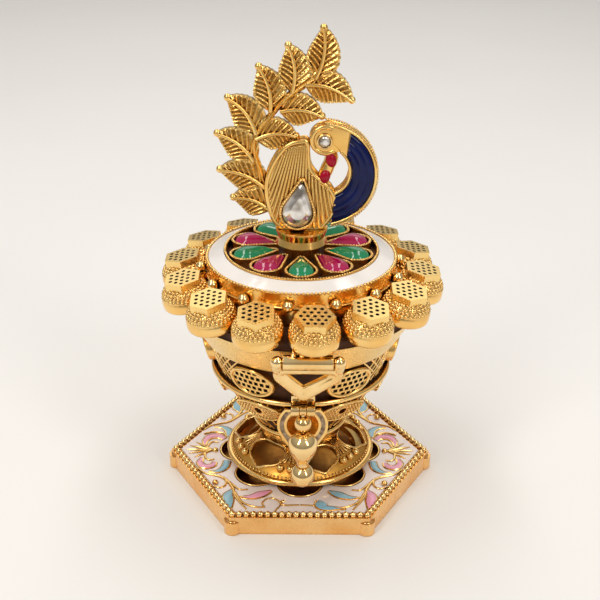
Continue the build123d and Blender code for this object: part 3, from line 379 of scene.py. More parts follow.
def pillow(name, outline, centre, height, place, rings=10, skirt=None):
    """A domed piece over an outline. place() puts a plane's point and its height in the object."""
    centre = Vector(centre)
    outline = [Vector(point) for point in outline]
    count = len(outline)
    vertices = []
    faces = []
    levels = []
    if skirt is not None:
        levels.append((1.0, skirt))
    for ring in range(rings):
        share = math.cos(math.pi / 2 * ring / rings)
        levels.append((share, height(share)))
    for share, rise in levels:
        vertices.extend(place(centre + (point - centre) * share, rise) for point in outline)
    for ring in range(len(levels) - 1):
        low = ring * count
        for index in range(count):
            after = (index + 1) % count
            faces.append((low + index, low + after, low + count + after, low + count + index))
    top = len(vertices)
    vertices.append(place(centre, height(0.0)))
    last = (len(levels) - 1) * count
    for index in range(count):
        faces.append((last + index, last + (index + 1) % count, top))
    faces.append(tuple(reversed(range(count))))
    piece = drawn(name, vertices, faces)
    outward(piece)
    return piece


# Finishes
cloud_low = 0.35
cloud_high = 0.65
mix_share = 0
mix_first = 6
mix_second = 7
mix_result = 2
occlusion_samples = 6
edge_samples = 4
# Occlusion values over which the painted shade in the golds fades out
painted_shade_low = 0.18
painted_shade_high = 0.72
gold_tone_scale = 160.0
gold_tone_loss = (0.07, 0.18, 0.34)
grain_low = 0.3
grain_high = 0.7
grain_bright = 0.75
grain_dull = 1.3
grain_depth = 0.05
hammer_scale = 420.0
hammer_depth = 0.4
enamel_tone_scale = 220.0
enamel_skin_scale = 500.0
enamel_skin = 0.12
enamel_skin_depth = 0.15
stone_bright_z = 49.4
stone_deep_z = 51.3
stone_tone_scale = 300.0
stone_tone_share = 0.35
foil_scale = 420.0
foil_dark = (0.34, 0.3, 0.25)
foil_bright = (0.88, 0.85, 0.8)
cup_tone_scale = 500.0
cup_gloss = 0.3
cup_dull = 0.85


def fresh(name):
    """A new material with its nodes, links, shader and coordinates."""
    material = bpy.data.materials.new(name)
    material.use_nodes = True
    nodes = material.node_tree.nodes
    place = nodes.new("ShaderNodeTexCoord")
    return material, nodes, material.node_tree.links, nodes["Principled BSDF"], place


def tuned(shader, values):
    """Sets the shader's plain values by their names."""
    for socket, value in values.items():
        shader.inputs[socket].default_value = value


def mottle(nodes, links, place, scale, detail=3.0):
    """A soft noise over the object's own coordinates."""
    noise = nodes.new("ShaderNodeTexNoise")
    noise.inputs["Scale"].default_value = scale
    noise.inputs["Detail"].default_value = detail
    links.new(place.outputs["Object"], noise.inputs["Vector"])
    return noise.outputs["Fac"]


def ranged(nodes, links, source, low, high, start=0.0, end=1.0):
    """A value spread from one range to another."""
    spread = nodes.new("ShaderNodeMapRange")
    spread.inputs["From Min"].default_value = low
    spread.inputs["From Max"].default_value = high
    spread.inputs["To Min"].default_value = start
    spread.inputs["To Max"].default_value = end
    links.new(source, spread.inputs["Value"])
    return spread.outputs["Result"]


def clouds(nodes, links, place, scale):
    """A soft noise spread from nothing to all."""
    return ranged(nodes, links, mottle(nodes, links, place, scale), cloud_low, cloud_high)


def blended(nodes, links, share, first, second):
    """Two colours mixed by a share. Each may be a colour or a socket."""
    mix = nodes.new("ShaderNodeMix")
    mix.data_type = "RGBA"
    links.new(share, mix.inputs[mix_share])
    for colour, socket in ((first, mix.inputs[mix_first]), (second, mix.inputs[mix_second])):
        if isinstance(colour, tuple):
            socket.default_value = (*colour, 1.0)
        else:
            links.new(colour, socket)
    return mix.outputs[mix_result]


def dented(nodes, links, height, strength, depth, under=None):
    """Normals bumped by a height, over the normals under them."""
    bump = nodes.new("ShaderNodeBump")
    bump.inputs["Strength"].default_value = strength
    bump.inputs["Distance"].default_value = depth * MM
    links.new(height, bump.inputs["Height"])
    if under is not None:
        links.new(under, bump.inputs["Normal"])
    return bump.outputs["Normal"]


def gold_finish(
    name, colour, painted_shade, roughness, dent=0.12, reach=0.8, hammer=0.0, shift=1.0, edge=0.12, grain=900.0
):
    """Gold plate: a warm tone that shifts a little, with painted shade in its hollows and marked places,
    and softened edges.
    """
    material, nodes, links, shader, place = fresh(name)
    # Painted shade: ambient occlusion darkens the colour towards the shade colour in creases and
    # recesses
    shade = nodes.new("ShaderNodeAmbientOcclusion")
    shade.samples = occlusion_samples
    shade.inputs["Distance"].default_value = reach * MM
    open_share = ranged(nodes, links, shade.outputs["AO"], painted_shade_low, painted_shade_high)
    deeper = tuple(part * (1 - shift * loss) for part, loss in zip(colour, gold_tone_loss))
    warm = blended(nodes, links, clouds(nodes, links, place, gold_tone_scale), deeper, colour)
    # Painted shade: the mesh's own mark of shaded places darkens the colour as well
    marks = nodes.new("ShaderNodeAttribute")
    marks.attribute_name = "painted_shade"
    tinted = blended(nodes, links, marks.outputs["Fac"], warm, painted_shade)
    links.new(blended(nodes, links, open_share, painted_shade, tinted), shader.inputs["Base Color"])
    tuned(shader, {"Metallic": 1.0})
    fine = mottle(nodes, links, place, grain)
    gloss = ranged(
        nodes, links, fine, grain_low, grain_high, roughness * grain_bright, roughness * grain_dull
    )
    links.new(gloss, shader.inputs["Roughness"])
    soft = nodes.new("ShaderNodeBevel")
    soft.samples = edge_samples
    soft.inputs["Radius"].default_value = edge * MM
    skin = dented(nodes, links, fine, dent, grain_depth, soft.outputs["Normal"])
    if hammer:
        blows = mottle(nodes, links, place, hammer_scale, detail=1.0)
        skin = dented(nodes, links, blows, hammer, hammer_depth, skin)
    links.new(skin, shader.inputs["Normal"])
    return material


def enamel_finish(name, colour, cloud, roughness=0.16, coat=0.4, shine=0.5):
    """Fired enamel: glossy, with faint clouds in its colour and a slightly uneven skin."""
    material, nodes, links, shader, place = fresh(name)
    tone = clouds(nodes, links, place, enamel_tone_scale)
    links.new(blended(nodes, links, tone, colour, cloud), shader.inputs["Base Color"])
    tuned(
        shader,
        {
            "Roughness": roughness,
            "Specular IOR Level": shine,
            "Coat Weight": coat,
            "Coat Roughness": 0.06,
        },
    )
    waves = mottle(nodes, links, place, enamel_skin_scale, detail=1.0)
    links.new(dented(nodes, links, waves, enamel_skin, enamel_skin_depth), shader.inputs["Normal"])
    return material


def stone_finish(name, deep, bright):
    """A polished cabochon, deep at its crown and brighter towards its edge."""
    material, nodes, links, shader, place = fresh(name)
    split = nodes.new("ShaderNodeSeparateXYZ")
    links.new(place.outputs["Object"], split.inputs["Vector"])
    share = ranged(nodes, links, split.outputs["Z"], stone_bright_z * MM, stone_deep_z * MM)
    body = blended(nodes, links, share, bright, deep)
    tone = mottle(nodes, links, place, stone_tone_scale)
    flecks = ranged(nodes, links, tone, 0.3, 0.8, 0.0, stone_tone_share)
    links.new(blended(nodes, links, flecks, body, bright), shader.inputs["Base Color"])
    tuned(shader, {"Roughness": 0.04, "IOR": 1.52, "Coat Weight": 0.5, "Coat Roughness": 0.02})
    return material


def foil_finish(name):
    """A clear faceted crystal over bright foil."""
    material, nodes, links, shader, place = fresh(name)
    tone = ranged(nodes, links, mottle(nodes, links, place, foil_scale, detail=1.0), 0.4, 0.6)
    links.new(blended(nodes, links, tone, foil_dark, foil_bright), shader.inputs["Base Color"])
    tuned(shader, {"Metallic": 0.7, "Roughness": 0.07, "Coat Weight": 1.0, "Coat Roughness": 0.02})
    return material


def plain_finish(name, colour, other, roughness, scale, metallic=0.0):
    """A dull or metal surface whose colour shifts a little."""
    material, nodes, links, shader, place = fresh(name)
    tone = clouds(nodes, links, place, scale)
    links.new(blended(nodes, links, tone, colour, other), shader.inputs["Base Color"])
    tuned(shader, {"Roughness": roughness, "Metallic": metallic})
    return material


def cup_finish(name, height, inner, worn, outer, dark):
    """Gold on the faces that look to a point of the axis, and dark brown painted shade on those that
    look away.
    """
    material, nodes, links, shader, place = fresh(name)
    spread = nodes.new("ShaderNodeVectorMath")
    spread.operation = "SUBTRACT"
    spread.inputs[1].default_value = (0.0, 0.0, height * MM)
    links.new(place.outputs["Object"], spread.inputs[0])
    facing = nodes.new("ShaderNodeVectorMath")
    facing.operation = "DOT_PRODUCT"
    links.new(spread.outputs["Vector"], facing.inputs[0])
    links.new(place.outputs["Normal"], facing.inputs[1])
    tone = clouds(nodes, links, place, cup_tone_scale)
    outside = ranged(nodes, links, facing.outputs["Value"], -MM, MM)
    gold = blended(nodes, links, tone, inner, worn)
    # Painted shade: the outer and dark colours stand in for the shadow on the faces that look away
    brown = blended(nodes, links, tone, outer, dark)
    links.new(blended(nodes, links, outside, gold, brown), shader.inputs["Base Color"])
    links.new(ranged(nodes, links, outside, 0.0, 1.0, 1.0, 0.0), shader.inputs["Metallic"])
    links.new(ranged(nodes, links, outside, 0.0, 1.0, cup_gloss, cup_dull), shader.inputs["Roughness"])
    return material


# The dark brown painted as shade into the hollows of the golds; each gold's second colour plays the same
# part
painted_shade_brown = (0.13, 0.035, 0.004)
antique_gold = gold_finish("antique_gold", (1.0, 0.68, 0.26), painted_shade_brown, 0.2)
cast_gold = gold_finish("cast_gold", (1.0, 0.69, 0.25), (0.16, 0.05, 0.005), 0.2, dent=0.2, reach=0.6)
hammered_gold = gold_finish("hammered_gold", (1.0, 0.66, 0.22), painted_shade_brown, 0.2, hammer=0.12)
polished_gold = gold_finish("polished_gold", (1.0, 0.74, 0.36), (0.3, 0.11, 0.015), 0.09, dent=0.02)
satin_gold = gold_finish(
    "satin_gold",
    (1.0, 0.71, 0.27),
    (0.4, 0.17, 0.03),
    0.3,
    dent=0.01,
    reach=0.2,
    shift=0.15,
    edge=0.04,
    grain=3000.0,
)
brushed_gold = gold_finish("brushed_gold", (1.0, 0.64, 0.28), (0.3, 0.12, 0.02), 0.24, dent=0.03)
fan_gold = gold_finish("fan_gold", (0.72, 0.38, 0.08), (0.12, 0.035, 0.004), 0.36, dent=0.3, reach=1.6)
# A darker, duller gold that paints the shade in the base's recess
recess_shade_gold = gold_finish("recess_shade_gold", (0.42, 0.19, 0.03), (0.05, 0.015, 0.003), 0.38, dent=0.4, reach=3.0)
shadowed_gold = plain_finish("shadowed_gold", (0.075, 0.024, 0.005), (0.03, 0.009, 0.002), 0.85, 500.0)
# Inner gold, a second gold, and two dark browns painted as shade on the bowl's cup behind the plaques
# and on the lid plate's top between the caps
cup_tones = ((0.9, 0.55, 0.16), (0.72, 0.4, 0.1), (0.085, 0.026, 0.005), (0.035, 0.01, 0.002))
cup_gold = cup_finish("cup_gold", 60.0, *cup_tones)
plate_gold = cup_finish("plate_gold", 0.0, *cup_tones)
# Near-black painted shade for the walls of drilled holes
hole_shade = plain_finish("hole_shade", (0.012, 0.006, 0.003), (0.03, 0.014, 0.005), 0.7, 800.0)
white_enamel = enamel_finish("white_enamel", (0.84, 0.79, 0.74), (0.79, 0.74, 0.7))
pearl_enamel = enamel_finish("pearl_enamel", (0.9, 0.8, 0.75), (0.85, 0.73, 0.68))
pink_enamel = enamel_finish("pink_enamel", (0.9, 0.36, 0.52), (0.86, 0.42, 0.56))
blue_enamel = enamel_finish("blue_enamel", (0.25, 0.5, 0.62), (0.32, 0.55, 0.64))
navy_enamel = enamel_finish(
    "navy_enamel", (0.0015, 0.008, 0.085), (0.0005, 0.003, 0.045), roughness=0.05, coat=0.0, shine=0.28
)
red_enamel = enamel_finish(
    "red_enamel", (0.42, 0.001, 0.022), (0.3, 0.001, 0.015), roughness=0.05, coat=0.0, shine=0.3
)
green_glass = stone_finish("green_glass", (0.0, 0.17, 0.06), (0.0, 0.34, 0.13))
magenta_glass = stone_finish("magenta_glass", (0.34, 0.0, 0.055), (0.56, 0.0, 0.11))
crystal_foil = foil_finish("crystal_foil")
grey_inlay = plain_finish("grey_inlay", (0.6, 0.45, 0.3), (0.2, 0.13, 0.08), 0.95, 1500.0)
plain_steel = plain_finish(
    "plain_steel", (0.55, 0.55, 0.55), (0.45, 0.45, 0.46), 0.3, 400.0, metallic=1.0
)

# Base: the bead border
border_beads = 19
border_z = 4.05
border_bead_radius = 0.65
border = []
for side in range(6):
    start = polar(side * sixth, bead_path_radius, border_z)
    end = polar((side + 1) * sixth, bead_path_radius, border_z)
    border.extend(start.lerp(end, index / border_beads) for index in range(border_beads))
border = beads("beads", border, border_bead_radius, segments=12, rings=8)
settle(border, "base_border_beads", "root", polished_gold, ["base_bead_wire"])

# Base: a bright button on each corner boss
button_circle = 25.9
button_radius = 1.15
button_z = 2.68
button_flat = 0.22
buttons = beads("buttons", ring_places(button_circle, 0, 6), button_radius, segments=24, rings=12)
buttons.data.transform(Matrix.Translation((0, 0, button_z)) @ Matrix.Diagonal((1, 1, button_flat, 1)))
settle(buttons, "base_boss_buttons", "root", polished_gold)

# Base: enamel cells of the left front quarter as (x, y, half width) points
upper_curl = [(-20.1, 1.3, 0.3), (-20.1, 3.0, 0.6), (-19.1, 4.5, 0.85), (-17.3, 4.7, 0.85)]
upper_curl.append((-16.1, 3.6, 0.55))
lower_curl = [(-20.2, -3.4, 0.35), (-20.6, -5.2, 0.65), (-19.5, -6.6, 0.8), (-18.0, -6.2, 0.7)]
lower_curl.append((-17.5, -4.9, 0.4))
comma = [(-18.6, -8.3, 0.12), (-16.8, -8.3, 0.5), (-15.4, -6.9, 0.8), (-15.0, -4.6, 0.75)]
corner_leaf = [(-13.3, -14.3, 0.15), (-14.1, -16.2, 0.95), (-13.9, -18.2, 1.05), (-13.4, -20.5, 0.3)]
long_leaf = [(-11.9, -16.9, 0.12), (-9.6, -16.9, 0.65), (-7.6, -16.0, 1.0), (-5.6, -14.8, 0.25)]
comma_ball = [(-9.0, -20.6, 0.12), (-6.9, -20.4, 0.5), (-5.0, -20.3, 0.9), (-4.1, -19.4, 1.25)]
comma_ball.append((-4.6, -18.7, 1.1))
rim_width = 0.2
cell_rise = 3.95
cell_flat = 0.34
rim_flat = 0.2
least_width = 0.08
flips = ((1, 1), (-1, 1), (1, -1), (-1, -1))


def flipped(path, across, along):
    """A path of the left front quarter moved to another."""
    return [(x * across, y * along, *rest) for x, y, *rest in path]


def laid(name, paths, grow, flat, rise):
    """Flattened tapering cells on the base."""
    lines = []
    for path in paths:
        flow = flowing(path, steps=5)
        lines.append([(point.x, point.y, 0, max(point.z, least_width) + grow) for point in flow])
    piece = wires(name, lines, order=3, steps=2, sides=3)
    piece.data.transform(Matrix.Translation((0, 0, rise)) @ Matrix.Diagonal((1, 1, flat, 1)))
    smooth(piece, angle=60)
    return piece


pink_cells = []
blue_cells = []
for across, along in flips:
    right = across < 0
    front = along > 0
    if front:
        pink_cells += [flipped(upper_curl, across, along), flipped(lower_curl, across, along)]
    blue_cells.append(flipped(comma, across, along))
    (pink_cells if right and front else blue_cells).append(flipped(corner_leaf, across, along))
    (blue_cells if right else pink_cells).append(flipped(long_leaf, across, along))
    if right:
        blue_cells.append(flipped(comma_ball, across, along))
for colour, cells, material in (("pink", pink_cells, pink_enamel), ("blue", blue_cells, blue_enamel)):
    enamel = laid(colour, cells, 0.0, cell_flat, cell_rise)
    replaced = ["base_enamel_" + colour]
    settle(enamel, "base_cells_" + colour, "root", material, replaced)

# Base: gold scrolls round the cells, as (x, y) points of the left front quarter
wire_size = 0.2
wire_thick = 0.3
stem_thick = 0.38
wire_flat = 0.9
upper_inner = [(-19.6, 0.2), (-19.2, 1.6), (-18.5, 2.5), (-17.3, 2.4)]
upper_outer = [(-20.6, 5.5), (-18.6, 6.3), (-16.6, 5.9), (-15.5, 4.4)]
lower_inner = [(-19.8, -1.8), (-19.6, -3.3), (-18.8, -4.2), (-17.7, -3.9)]
stem = [(-20.8, -7.2), (-19.3, -8.9), (-17.2, -9.7), (-15.2, -10.7), (-13.9, -12.7), (-13.1, -14.6)]
spiral = [(-16.3, -9.9), (-14.9, -11.3), (-14.9, -13.1), (-16, -13.9), (-17.1, -13.4)]
branch = [(-15.2, -10.7), (-13.5, -12.7), (-12, -14.4), (-10.3, -14.4)]
low_wire = [(-13.1, -14.6), (-12.5, -17.2), (-10.3, -20.8)]
long_wire = [(-12.8, -15.4), (-11.3, -18.5), (-8.9, -20), (-6.8, -20.2)]
hook = [(-6.8, -20.2), (-7.3, -18.8), (-6.3, -17.4), (-4.8, -17.5), (-3.7, -19.2), (-4.7, -21.2)]
tendril = [(-3, -18.1), (-3.7, -18.6), (-3, -19.5), (-0.1, -19.4)]
ray_base = Vector((-18.3, -0.6))
ray_tips = [(-22.0, 2.4), (-23.2, 1.1), (-23.7, -0.4), (-23.2, -1.8), (-21.9, -3.2)]
ray_course = ((0.0, 0.3), (0.35, 0.3), (0.7, 0.27), (1.0, 0.08))
spiral_bead = (-16.9, -12.4, field_top + 0.3)
ray_ball = (-17.7, -0.7, field_top + 0.1)
scroll_bead_radius = 0.62
scroll_lift = 0.05
scallop_lift = 0.02


def gilt(path, across, along, start, end):
    """A gold wire of the left front quarter moved to another, with radii from start to end."""
    last = len(path) - 1
    sized = [(x, y, start + (end - start) * index / last) for index, (x, y) in enumerate(path)]
    return flipped(sized, across, along)


scrolls = []
scroll_beads = []
for across, along in flips:
    for path in (spiral, branch, low_wire, long_wire, tendril):
        scrolls.append(gilt(path, across, along, wire_thick, wire_size))
    scrolls.append(gilt(stem, across, along, wire_size, stem_thick))
    if across > 0:
        scrolls.append(gilt(hook, across, along, wire_size, wire_size))
    scroll_beads += flipped([spiral_bead], across, along)
    if along < 0:
        continue
    for path in (upper_inner, upper_outer, lower_inner):
        scrolls.append(gilt(path, across, along, wire_thick, wire_size))
    scroll_beads += flipped([ray_ball], across, along)
    for tip in ray_tips:
        ray = [(*ray_base.lerp(Vector(tip), share), size) for share, size in ray_course]
        scrolls.append(flipped(ray, across, along))
lobe_count = 8
lobe_circle = 12.2
lobe_radius = 4.38
lobe_swing = 84
lobe_step = 14
scallops = []
for lobe in range(lobe_count):
    turn = -90 + lobe * 360 / lobe_count
    centre = polar(turn, lobe_circle, 0)
    swings = range(-lobe_swing, lobe_swing + 1, lobe_step)
    line = [centre + polar(turn + swing, lobe_radius, 0) for swing in swings]
    scallops.append([(point.x, point.y, wire_size) for point in line])
gold_scrolls = joined(
    [
        laid("cell_rims", pink_cells + blue_cells, rim_width, rim_flat, cell_rise),
        laid("scrolls", scrolls, 0.0, wire_flat, field_top + scroll_lift),
        laid("scallops", scallops, 0.0, wire_flat, field_top + scallop_lift),
        beads("scroll_beads", scroll_beads, scroll_bead_radius, segments=16, rings=10),
    ]
)
settle(gold_scrolls, "base_scroll_wires", "root", antique_gold, ["base_gold_scrolls"])

# Base: a darker gold floor in its recess, as painted shade
recess_radius = 16.4
recess_low = 2.1
recess_high = 2.26
recess_line = [(0.0, recess_low), (recess_radius, recess_low)]
recess_line += [(recess_radius, recess_high), (0.0, recess_high)]
recess = turned("recess", recess_line, steps=96)
settle(recess, "base_recess_floor", "root", recess_shade_gold)

# Foot: ribbed fans, wires round the openings and a ring of grains
dome_arc = arc_through((14.3, 6.05), (11.65, 8.175), (8.1, 9.4), steps=60)


def dome_z(radius):
    """The foot's height at a radius."""
    near = min(dome_arc, key=lambda point: abs(point[0] - radius))
    return near[1]


# A rib's course as (radius, half of the fan's spread in degrees, wire radius)
rib_course = [(8.3, 4.5, 0.16), (9.4, 4.9, 0.19), (10.4, 6.6, 0.22)]
rib_course += [(11.3, 9.8, 0.24), (11.8, 12.0, 0.18)]
rib_count = 6
rib_lift = 0.12
# The circles that an opening's outline runs round, as (turn, distance, radius)
opening_circles = ((10, 10.4, 2.35), (-10, 10.4, 2.35), (0, 13.3, 0.5))
opening_step = 15
opening_lift = 0.1
opening_wire = 0.27
rim_grain_circle = 14.15
rim_grain_lift = 0.15
rim_grain_count = 110
rim_grain_radius = 0.25
fan_grain_circle = 12.9
fan_grain_lift = 0.35
fan_grain_radius = 0.76
fan_grain_swings = (-9, 0, 9)
opening_points = []
for turn in range(0, 360, opening_step):
    for at, distance, radius in opening_circles:
        opening_points.append(polar(at, distance, 0).xy + polar(turn, radius, 0).xy)
opening = even(hull(opening_points), count=44)
foot_wires = []
foot_loops = []
fan_grains = []
for fan in range(6):
    fan_turn = foot_turn + fan * sixth
    for rib in range(rib_count):
        side = 2 * rib / (rib_count - 1) - 1
        line = []
        for radius, spread, size in rib_course:
            point = polar(fan_turn + spread * side, radius, dome_z(radius) + rib_lift)
            line.append((*point, size))
        foot_wires.append(line)
    loop = []
    for point in opening:
        spot = spun(opening_turn + fan * sixth) @ Vector((point.x, point.y, 0))
        height = dome_z(math.hypot(spot.x, spot.y)) + opening_lift
        loop.append((spot.x, spot.y, height, opening_wire))
    foot_loops.append(loop)
    for swing in fan_grain_swings:
        height = dome_z(fan_grain_circle) + fan_grain_lift
        fan_grains.append(polar(fan_turn + swing, fan_grain_circle, height))
rim_grains = ring_places(rim_grain_circle, dome_z(rim_grain_circle) + rim_grain_lift, rim_grain_count)
foot_work = joined(
    [
        wires("ribs", foot_wires),
        wires("loops", foot_loops, closed=True, steps=2),
        beads("rim_grains", rim_grains, rim_grain_radius),
        beads("fan_grains", fan_grains, fan_grain_radius, segments=16, rings=10),
    ]
)
smooth(foot_work, angle=60)
settle(foot_work, "foot_filigree", "root", antique_gold)


# Bowl: oval grilles with cut holes
def bowl_radius(height, stand):
    """The bowl wall's radius at a height, with a stand-off."""
    return bowl_centre_offset + math.sqrt(
        (bowl_curve_radius + stand) ** 2 - (height - bowl_curve_height) ** 2
    )


def on_bowl(turn, across, height, stand):
    """A point on the bowl, across from the line at a turn."""
    radius = bowl_radius(height, stand)
    return spun(turn) @ Vector((math.sqrt(radius * radius - across * across), across, height))


def reach_right(piece):
    """How far a piece reaches to the right."""
    return max(spot.co.x for spot in piece.data.vertices)


def bored(piece, drill, places, material):
    """Cuts the drill out of a piece at each place, and colours the walls of the holes near black as
    painted shade.
    """
    drills = copies("drills", drill, places)
    for target in (piece, drills):
        target.data.materials.clear()
        target.data.materials.append(material)
        target.data.materials.append(hole_shade)
    drills.data.polygons.foreach_set("material_index", [1] * len(drills.data.polygons))
    cut(piece, drills)


oval_sink = 0.8
oval_border = 0.32
oval_border_wire = 0.34
oval_border_steps = 28
hole_pitch = 1.18
hole_size = 0.78
hole_depth = 1.5
hole_rows = range(-2, 3)
hole_columns = range(-4, 5)
hole_reach_across = oval_width / 2 - 0.95
hole_reach_up = oval_height / 2 - 0.75
cad_copy("bowl_oval_plaques", "grille")
bpy.ops.mesh.separate(type="LOOSE")
plaques = sorted(bpy.context.selected_objects, key=reach_right)
grille = plaques.pop()
for piece in plaques:
    bpy.data.objects.remove(piece)
hole = added(bpy.ops.mesh.primitive_cube_add, size=1.0)
hole_places = []
for row in hole_rows:
    for column in hole_columns:
        across = (column + 0.5 * (row % 2)) * hole_pitch
        height = row * hole_pitch
        if (across / hole_reach_across) ** 2 + (height / hole_reach_up) ** 2 > 1:
            continue
        place = on_bowl(0, across, oval_z + height, oval_stand)
        slope = math.atan2(height + oval_z - bowl_curve_height, bowl_curve_radius)
        face = math.degrees(math.atan2(place.y, place.x))
        hole_places.append(
            Matrix.Translation(place)
            @ spun(face)
            @ Matrix.Rotation(-slope, 4, "Y")
            @ Matrix.Diagonal((hole_depth, hole_size, hole_size, 1))
        )
bored(grille, hole, hole_places, antique_gold)
grille.data.transform(Matrix.Translation((-oval_sink, 0, 0)))
grilles = copies("grilles", grille, [spun(plaque * sixth) for plaque in range(plaque_count)])
smooth(grilles)
settle(grilles, "bowl_oval_grilles", "root", None, ["bowl_oval_plaques"])

# Bowl: border wires of the ovals and eyes, and the grains of the eyes
eye_border = 0.3
eye_border_wire = 0.26
eye_border_steps = 40
eye_point = 0.35
grain_pitch = 0.66
grain_row_pitch = grain_pitch * 0.87
grain_reach_across = eye_width / 2 - 0.5
grain_reach_up = eye_height / 2 - 0.55
grain_curve = 0.68
grain_rows = range(-5, 6)
grain_columns = range(-10, 11)
pupil_radius = 1.15
eye_grain_radius = 0.27
oval_lines = []
eye_lines = []
eye_grains = []
for plaque in range(plaque_count):
    turn = plaque * sixth
    line = []
    for step in range(oval_border_steps):
        angle = math.tau * step / oval_border_steps
        across = math.cos(angle) * (oval_width / 2 - oval_border)
        height = math.sin(angle) * (oval_height / 2 - oval_border)
        place = on_bowl(0, across, oval_z + height, oval_stand) - Vector((oval_sink, 0, 0))
        line.append((*(spun(turn) @ place), oval_border_wire))
    oval_lines.append(line)
    line = []
    for step in range(eye_border_steps):
        angle = math.tau * step / eye_border_steps
        lift = math.sin(angle) * abs(math.sin(angle)) ** eye_point
        across = math.cos(angle) * (eye_width / 2 - eye_border)
        height = lift * (eye_height / 2 - eye_border)
        line.append((*on_bowl(turn, across, eye_z + height, eye_stand), eye_border_wire))
    eye_lines.append(line)
    for row in grain_rows:
        for column in grain_columns:
            across = (column + 0.5 * (row % 2)) * grain_pitch
            height = row * grain_row_pitch
            reach = 1 - (across / grain_reach_across) ** 2
            if reach <= 0 or abs(height) > reach**grain_curve * grain_reach_up:
                continue
            if math.hypot(across, height) < pupil_radius:
                continue
            eye_grains.append(on_bowl(turn, across, eye_z + height, eye_stand))

# Bowl: the lattice between the ovals and the basket below them
lattice_low = 26.6
lattice_high = 34.4
lattice_gaps = (-30, 30, 90, 150, 210)
lattice_count = 5
lattice_spread = 26
lattice_swing = 13
lattice_stand = 0.1
lattice_wire = 0.24
basket_low = 14.2
basket_high = 25.4
basket_count = 30
basket_swing = 9
basket_stand = 0.08
basket_wire = 0.22
slant_steps = 6


def slanted(middle, swing, low, high, stand, size):
    """A wire that climbs the bowl from one side of a turn to the other."""
    line = []
    for step in range(slant_steps + 1):
        share = step / slant_steps
        turn = middle + swing * (2 * share - 1)
        line.append((*on_bowl(turn, 0.0, low + (high - low) * share, stand), size))
    return line


lattice_lines = []
for gap in lattice_gaps:
    for bar in range(lattice_count):
        middle = gap + lattice_spread * (bar / (lattice_count - 1) - 0.5)
        for side in both:
            swing = side * lattice_swing
            lattice_lines.append(
                slanted(middle, swing, lattice_low, lattice_high, lattice_stand, lattice_wire)
            )
for bar in range(basket_count):
    for side in both:
        middle = 360 * bar / basket_count
        swing = side * basket_swing
        lattice_lines.append(slanted(middle, swing, basket_low, basket_high, basket_stand, basket_wire))
bowl_work = joined(
    [
        wires("lattice", lattice_lines, order=3, steps=2),
        wires("oval_lines", oval_lines, closed=True, steps=2),
        wires("eye_lines", eye_lines, closed=True, steps=2),
        beads("eye_grains", eye_grains, eye_grain_radius),
    ]
)
smooth(bowl_work, angle=60)
settle(bowl_work, "bowl_wires_and_grains", "root", antique_gold)

# Hasp: a soft-edged triangular frame whose corners curl round the tube
hasp_origin = Vector((1.3, -24.7, 38.6))
hasp_lean = math.radians(16.8)
hasp_middle = Vector((-0.4, -4.6))
# The round corners of its three outlines, as (x, y, radius)
frame_circles = ((-4.1, -3.2, 2.15), (4.1, -3.2, 2.15), (-0.75, -8.4, 1.3))
step_circles = ((-4.1, -3.05, 0.6), (4.1, -3.05, 0.6), (-0.75, -7.2, 0.6))
window_circles = ((-3.3, -3.3, 0.3), (3.3, -3.3, 0.3), (-0.75, -6.2, 0.3))
hasp_rays = 120


def on_hasp(across, up, front):
    """A point of the hasp's leaning plane, moved to the front."""
    lean_y = -math.sin(hasp_lean) * up - math.cos(hasp_lean) * front
    lean_z = math.cos(hasp_lean) * up - math.sin(hasp_lean) * front
    return hasp_origin + Vector((across, lean_y, lean_z))


def triangle(circles):
    """The outline of a triangle with round corners, met by rays from the hasp's middle."""
    points = []
    for x, y, radius in circles:
        points.extend(Vector((x, y)) + polar(turn, radius, 0).xy for turn in range(0, 360, 10))
    outline = [Vector(point) for point in hull(points)]
    met = []
    for ray in range(hasp_rays):
        way = polar(ray * 360 / hasp_rays, 1.0, 0).xy
        met.append(hasp_middle + way / rim_share(hasp_middle + way, outline, hasp_middle))
    return met


frame_line = triangle(frame_circles)
step_line = triangle(step_circles)
window_line = triangle(window_circles)
# Its section as (share of the way in, height to the front), from the frame and then from the step
frame_section = (
    (0.0, -0.75),
    (0.0, 0.1),
    (0.07, 0.45),
    (0.22, 0.68),
    (0.45, 0.78),
    (0.75, 0.74),
    (0.95, 0.6),
)
step_section = ((0.1, 0.42), (0.55, 0.18), (0.92, 0.1), (1.0, -0.1), (1.0, -0.75))
hasp_points = []
for outer, inner, section in (
    (frame_line, step_line, frame_section),
    (step_line, window_line, step_section),
):
    for share, front in section:
        hasp_points.extend(on_hasp(*a.lerp(b, share), front) for a, b in zip(outer, inner))
hasp_faces = []
hasp_rings = len(frame_section) + len(step_section)
for ring in range(hasp_rings):
    low = ring * hasp_rays
    high = (ring + 1) % hasp_rings * hasp_rays
    for ray in range(hasp_rays):
        after = (ray + 1) % hasp_rays
        hasp_faces.append((low + ray, low + after, high + after, high + ray))
hasp = drawn("hasp", hasp_points, hasp_faces)
outward(hasp)
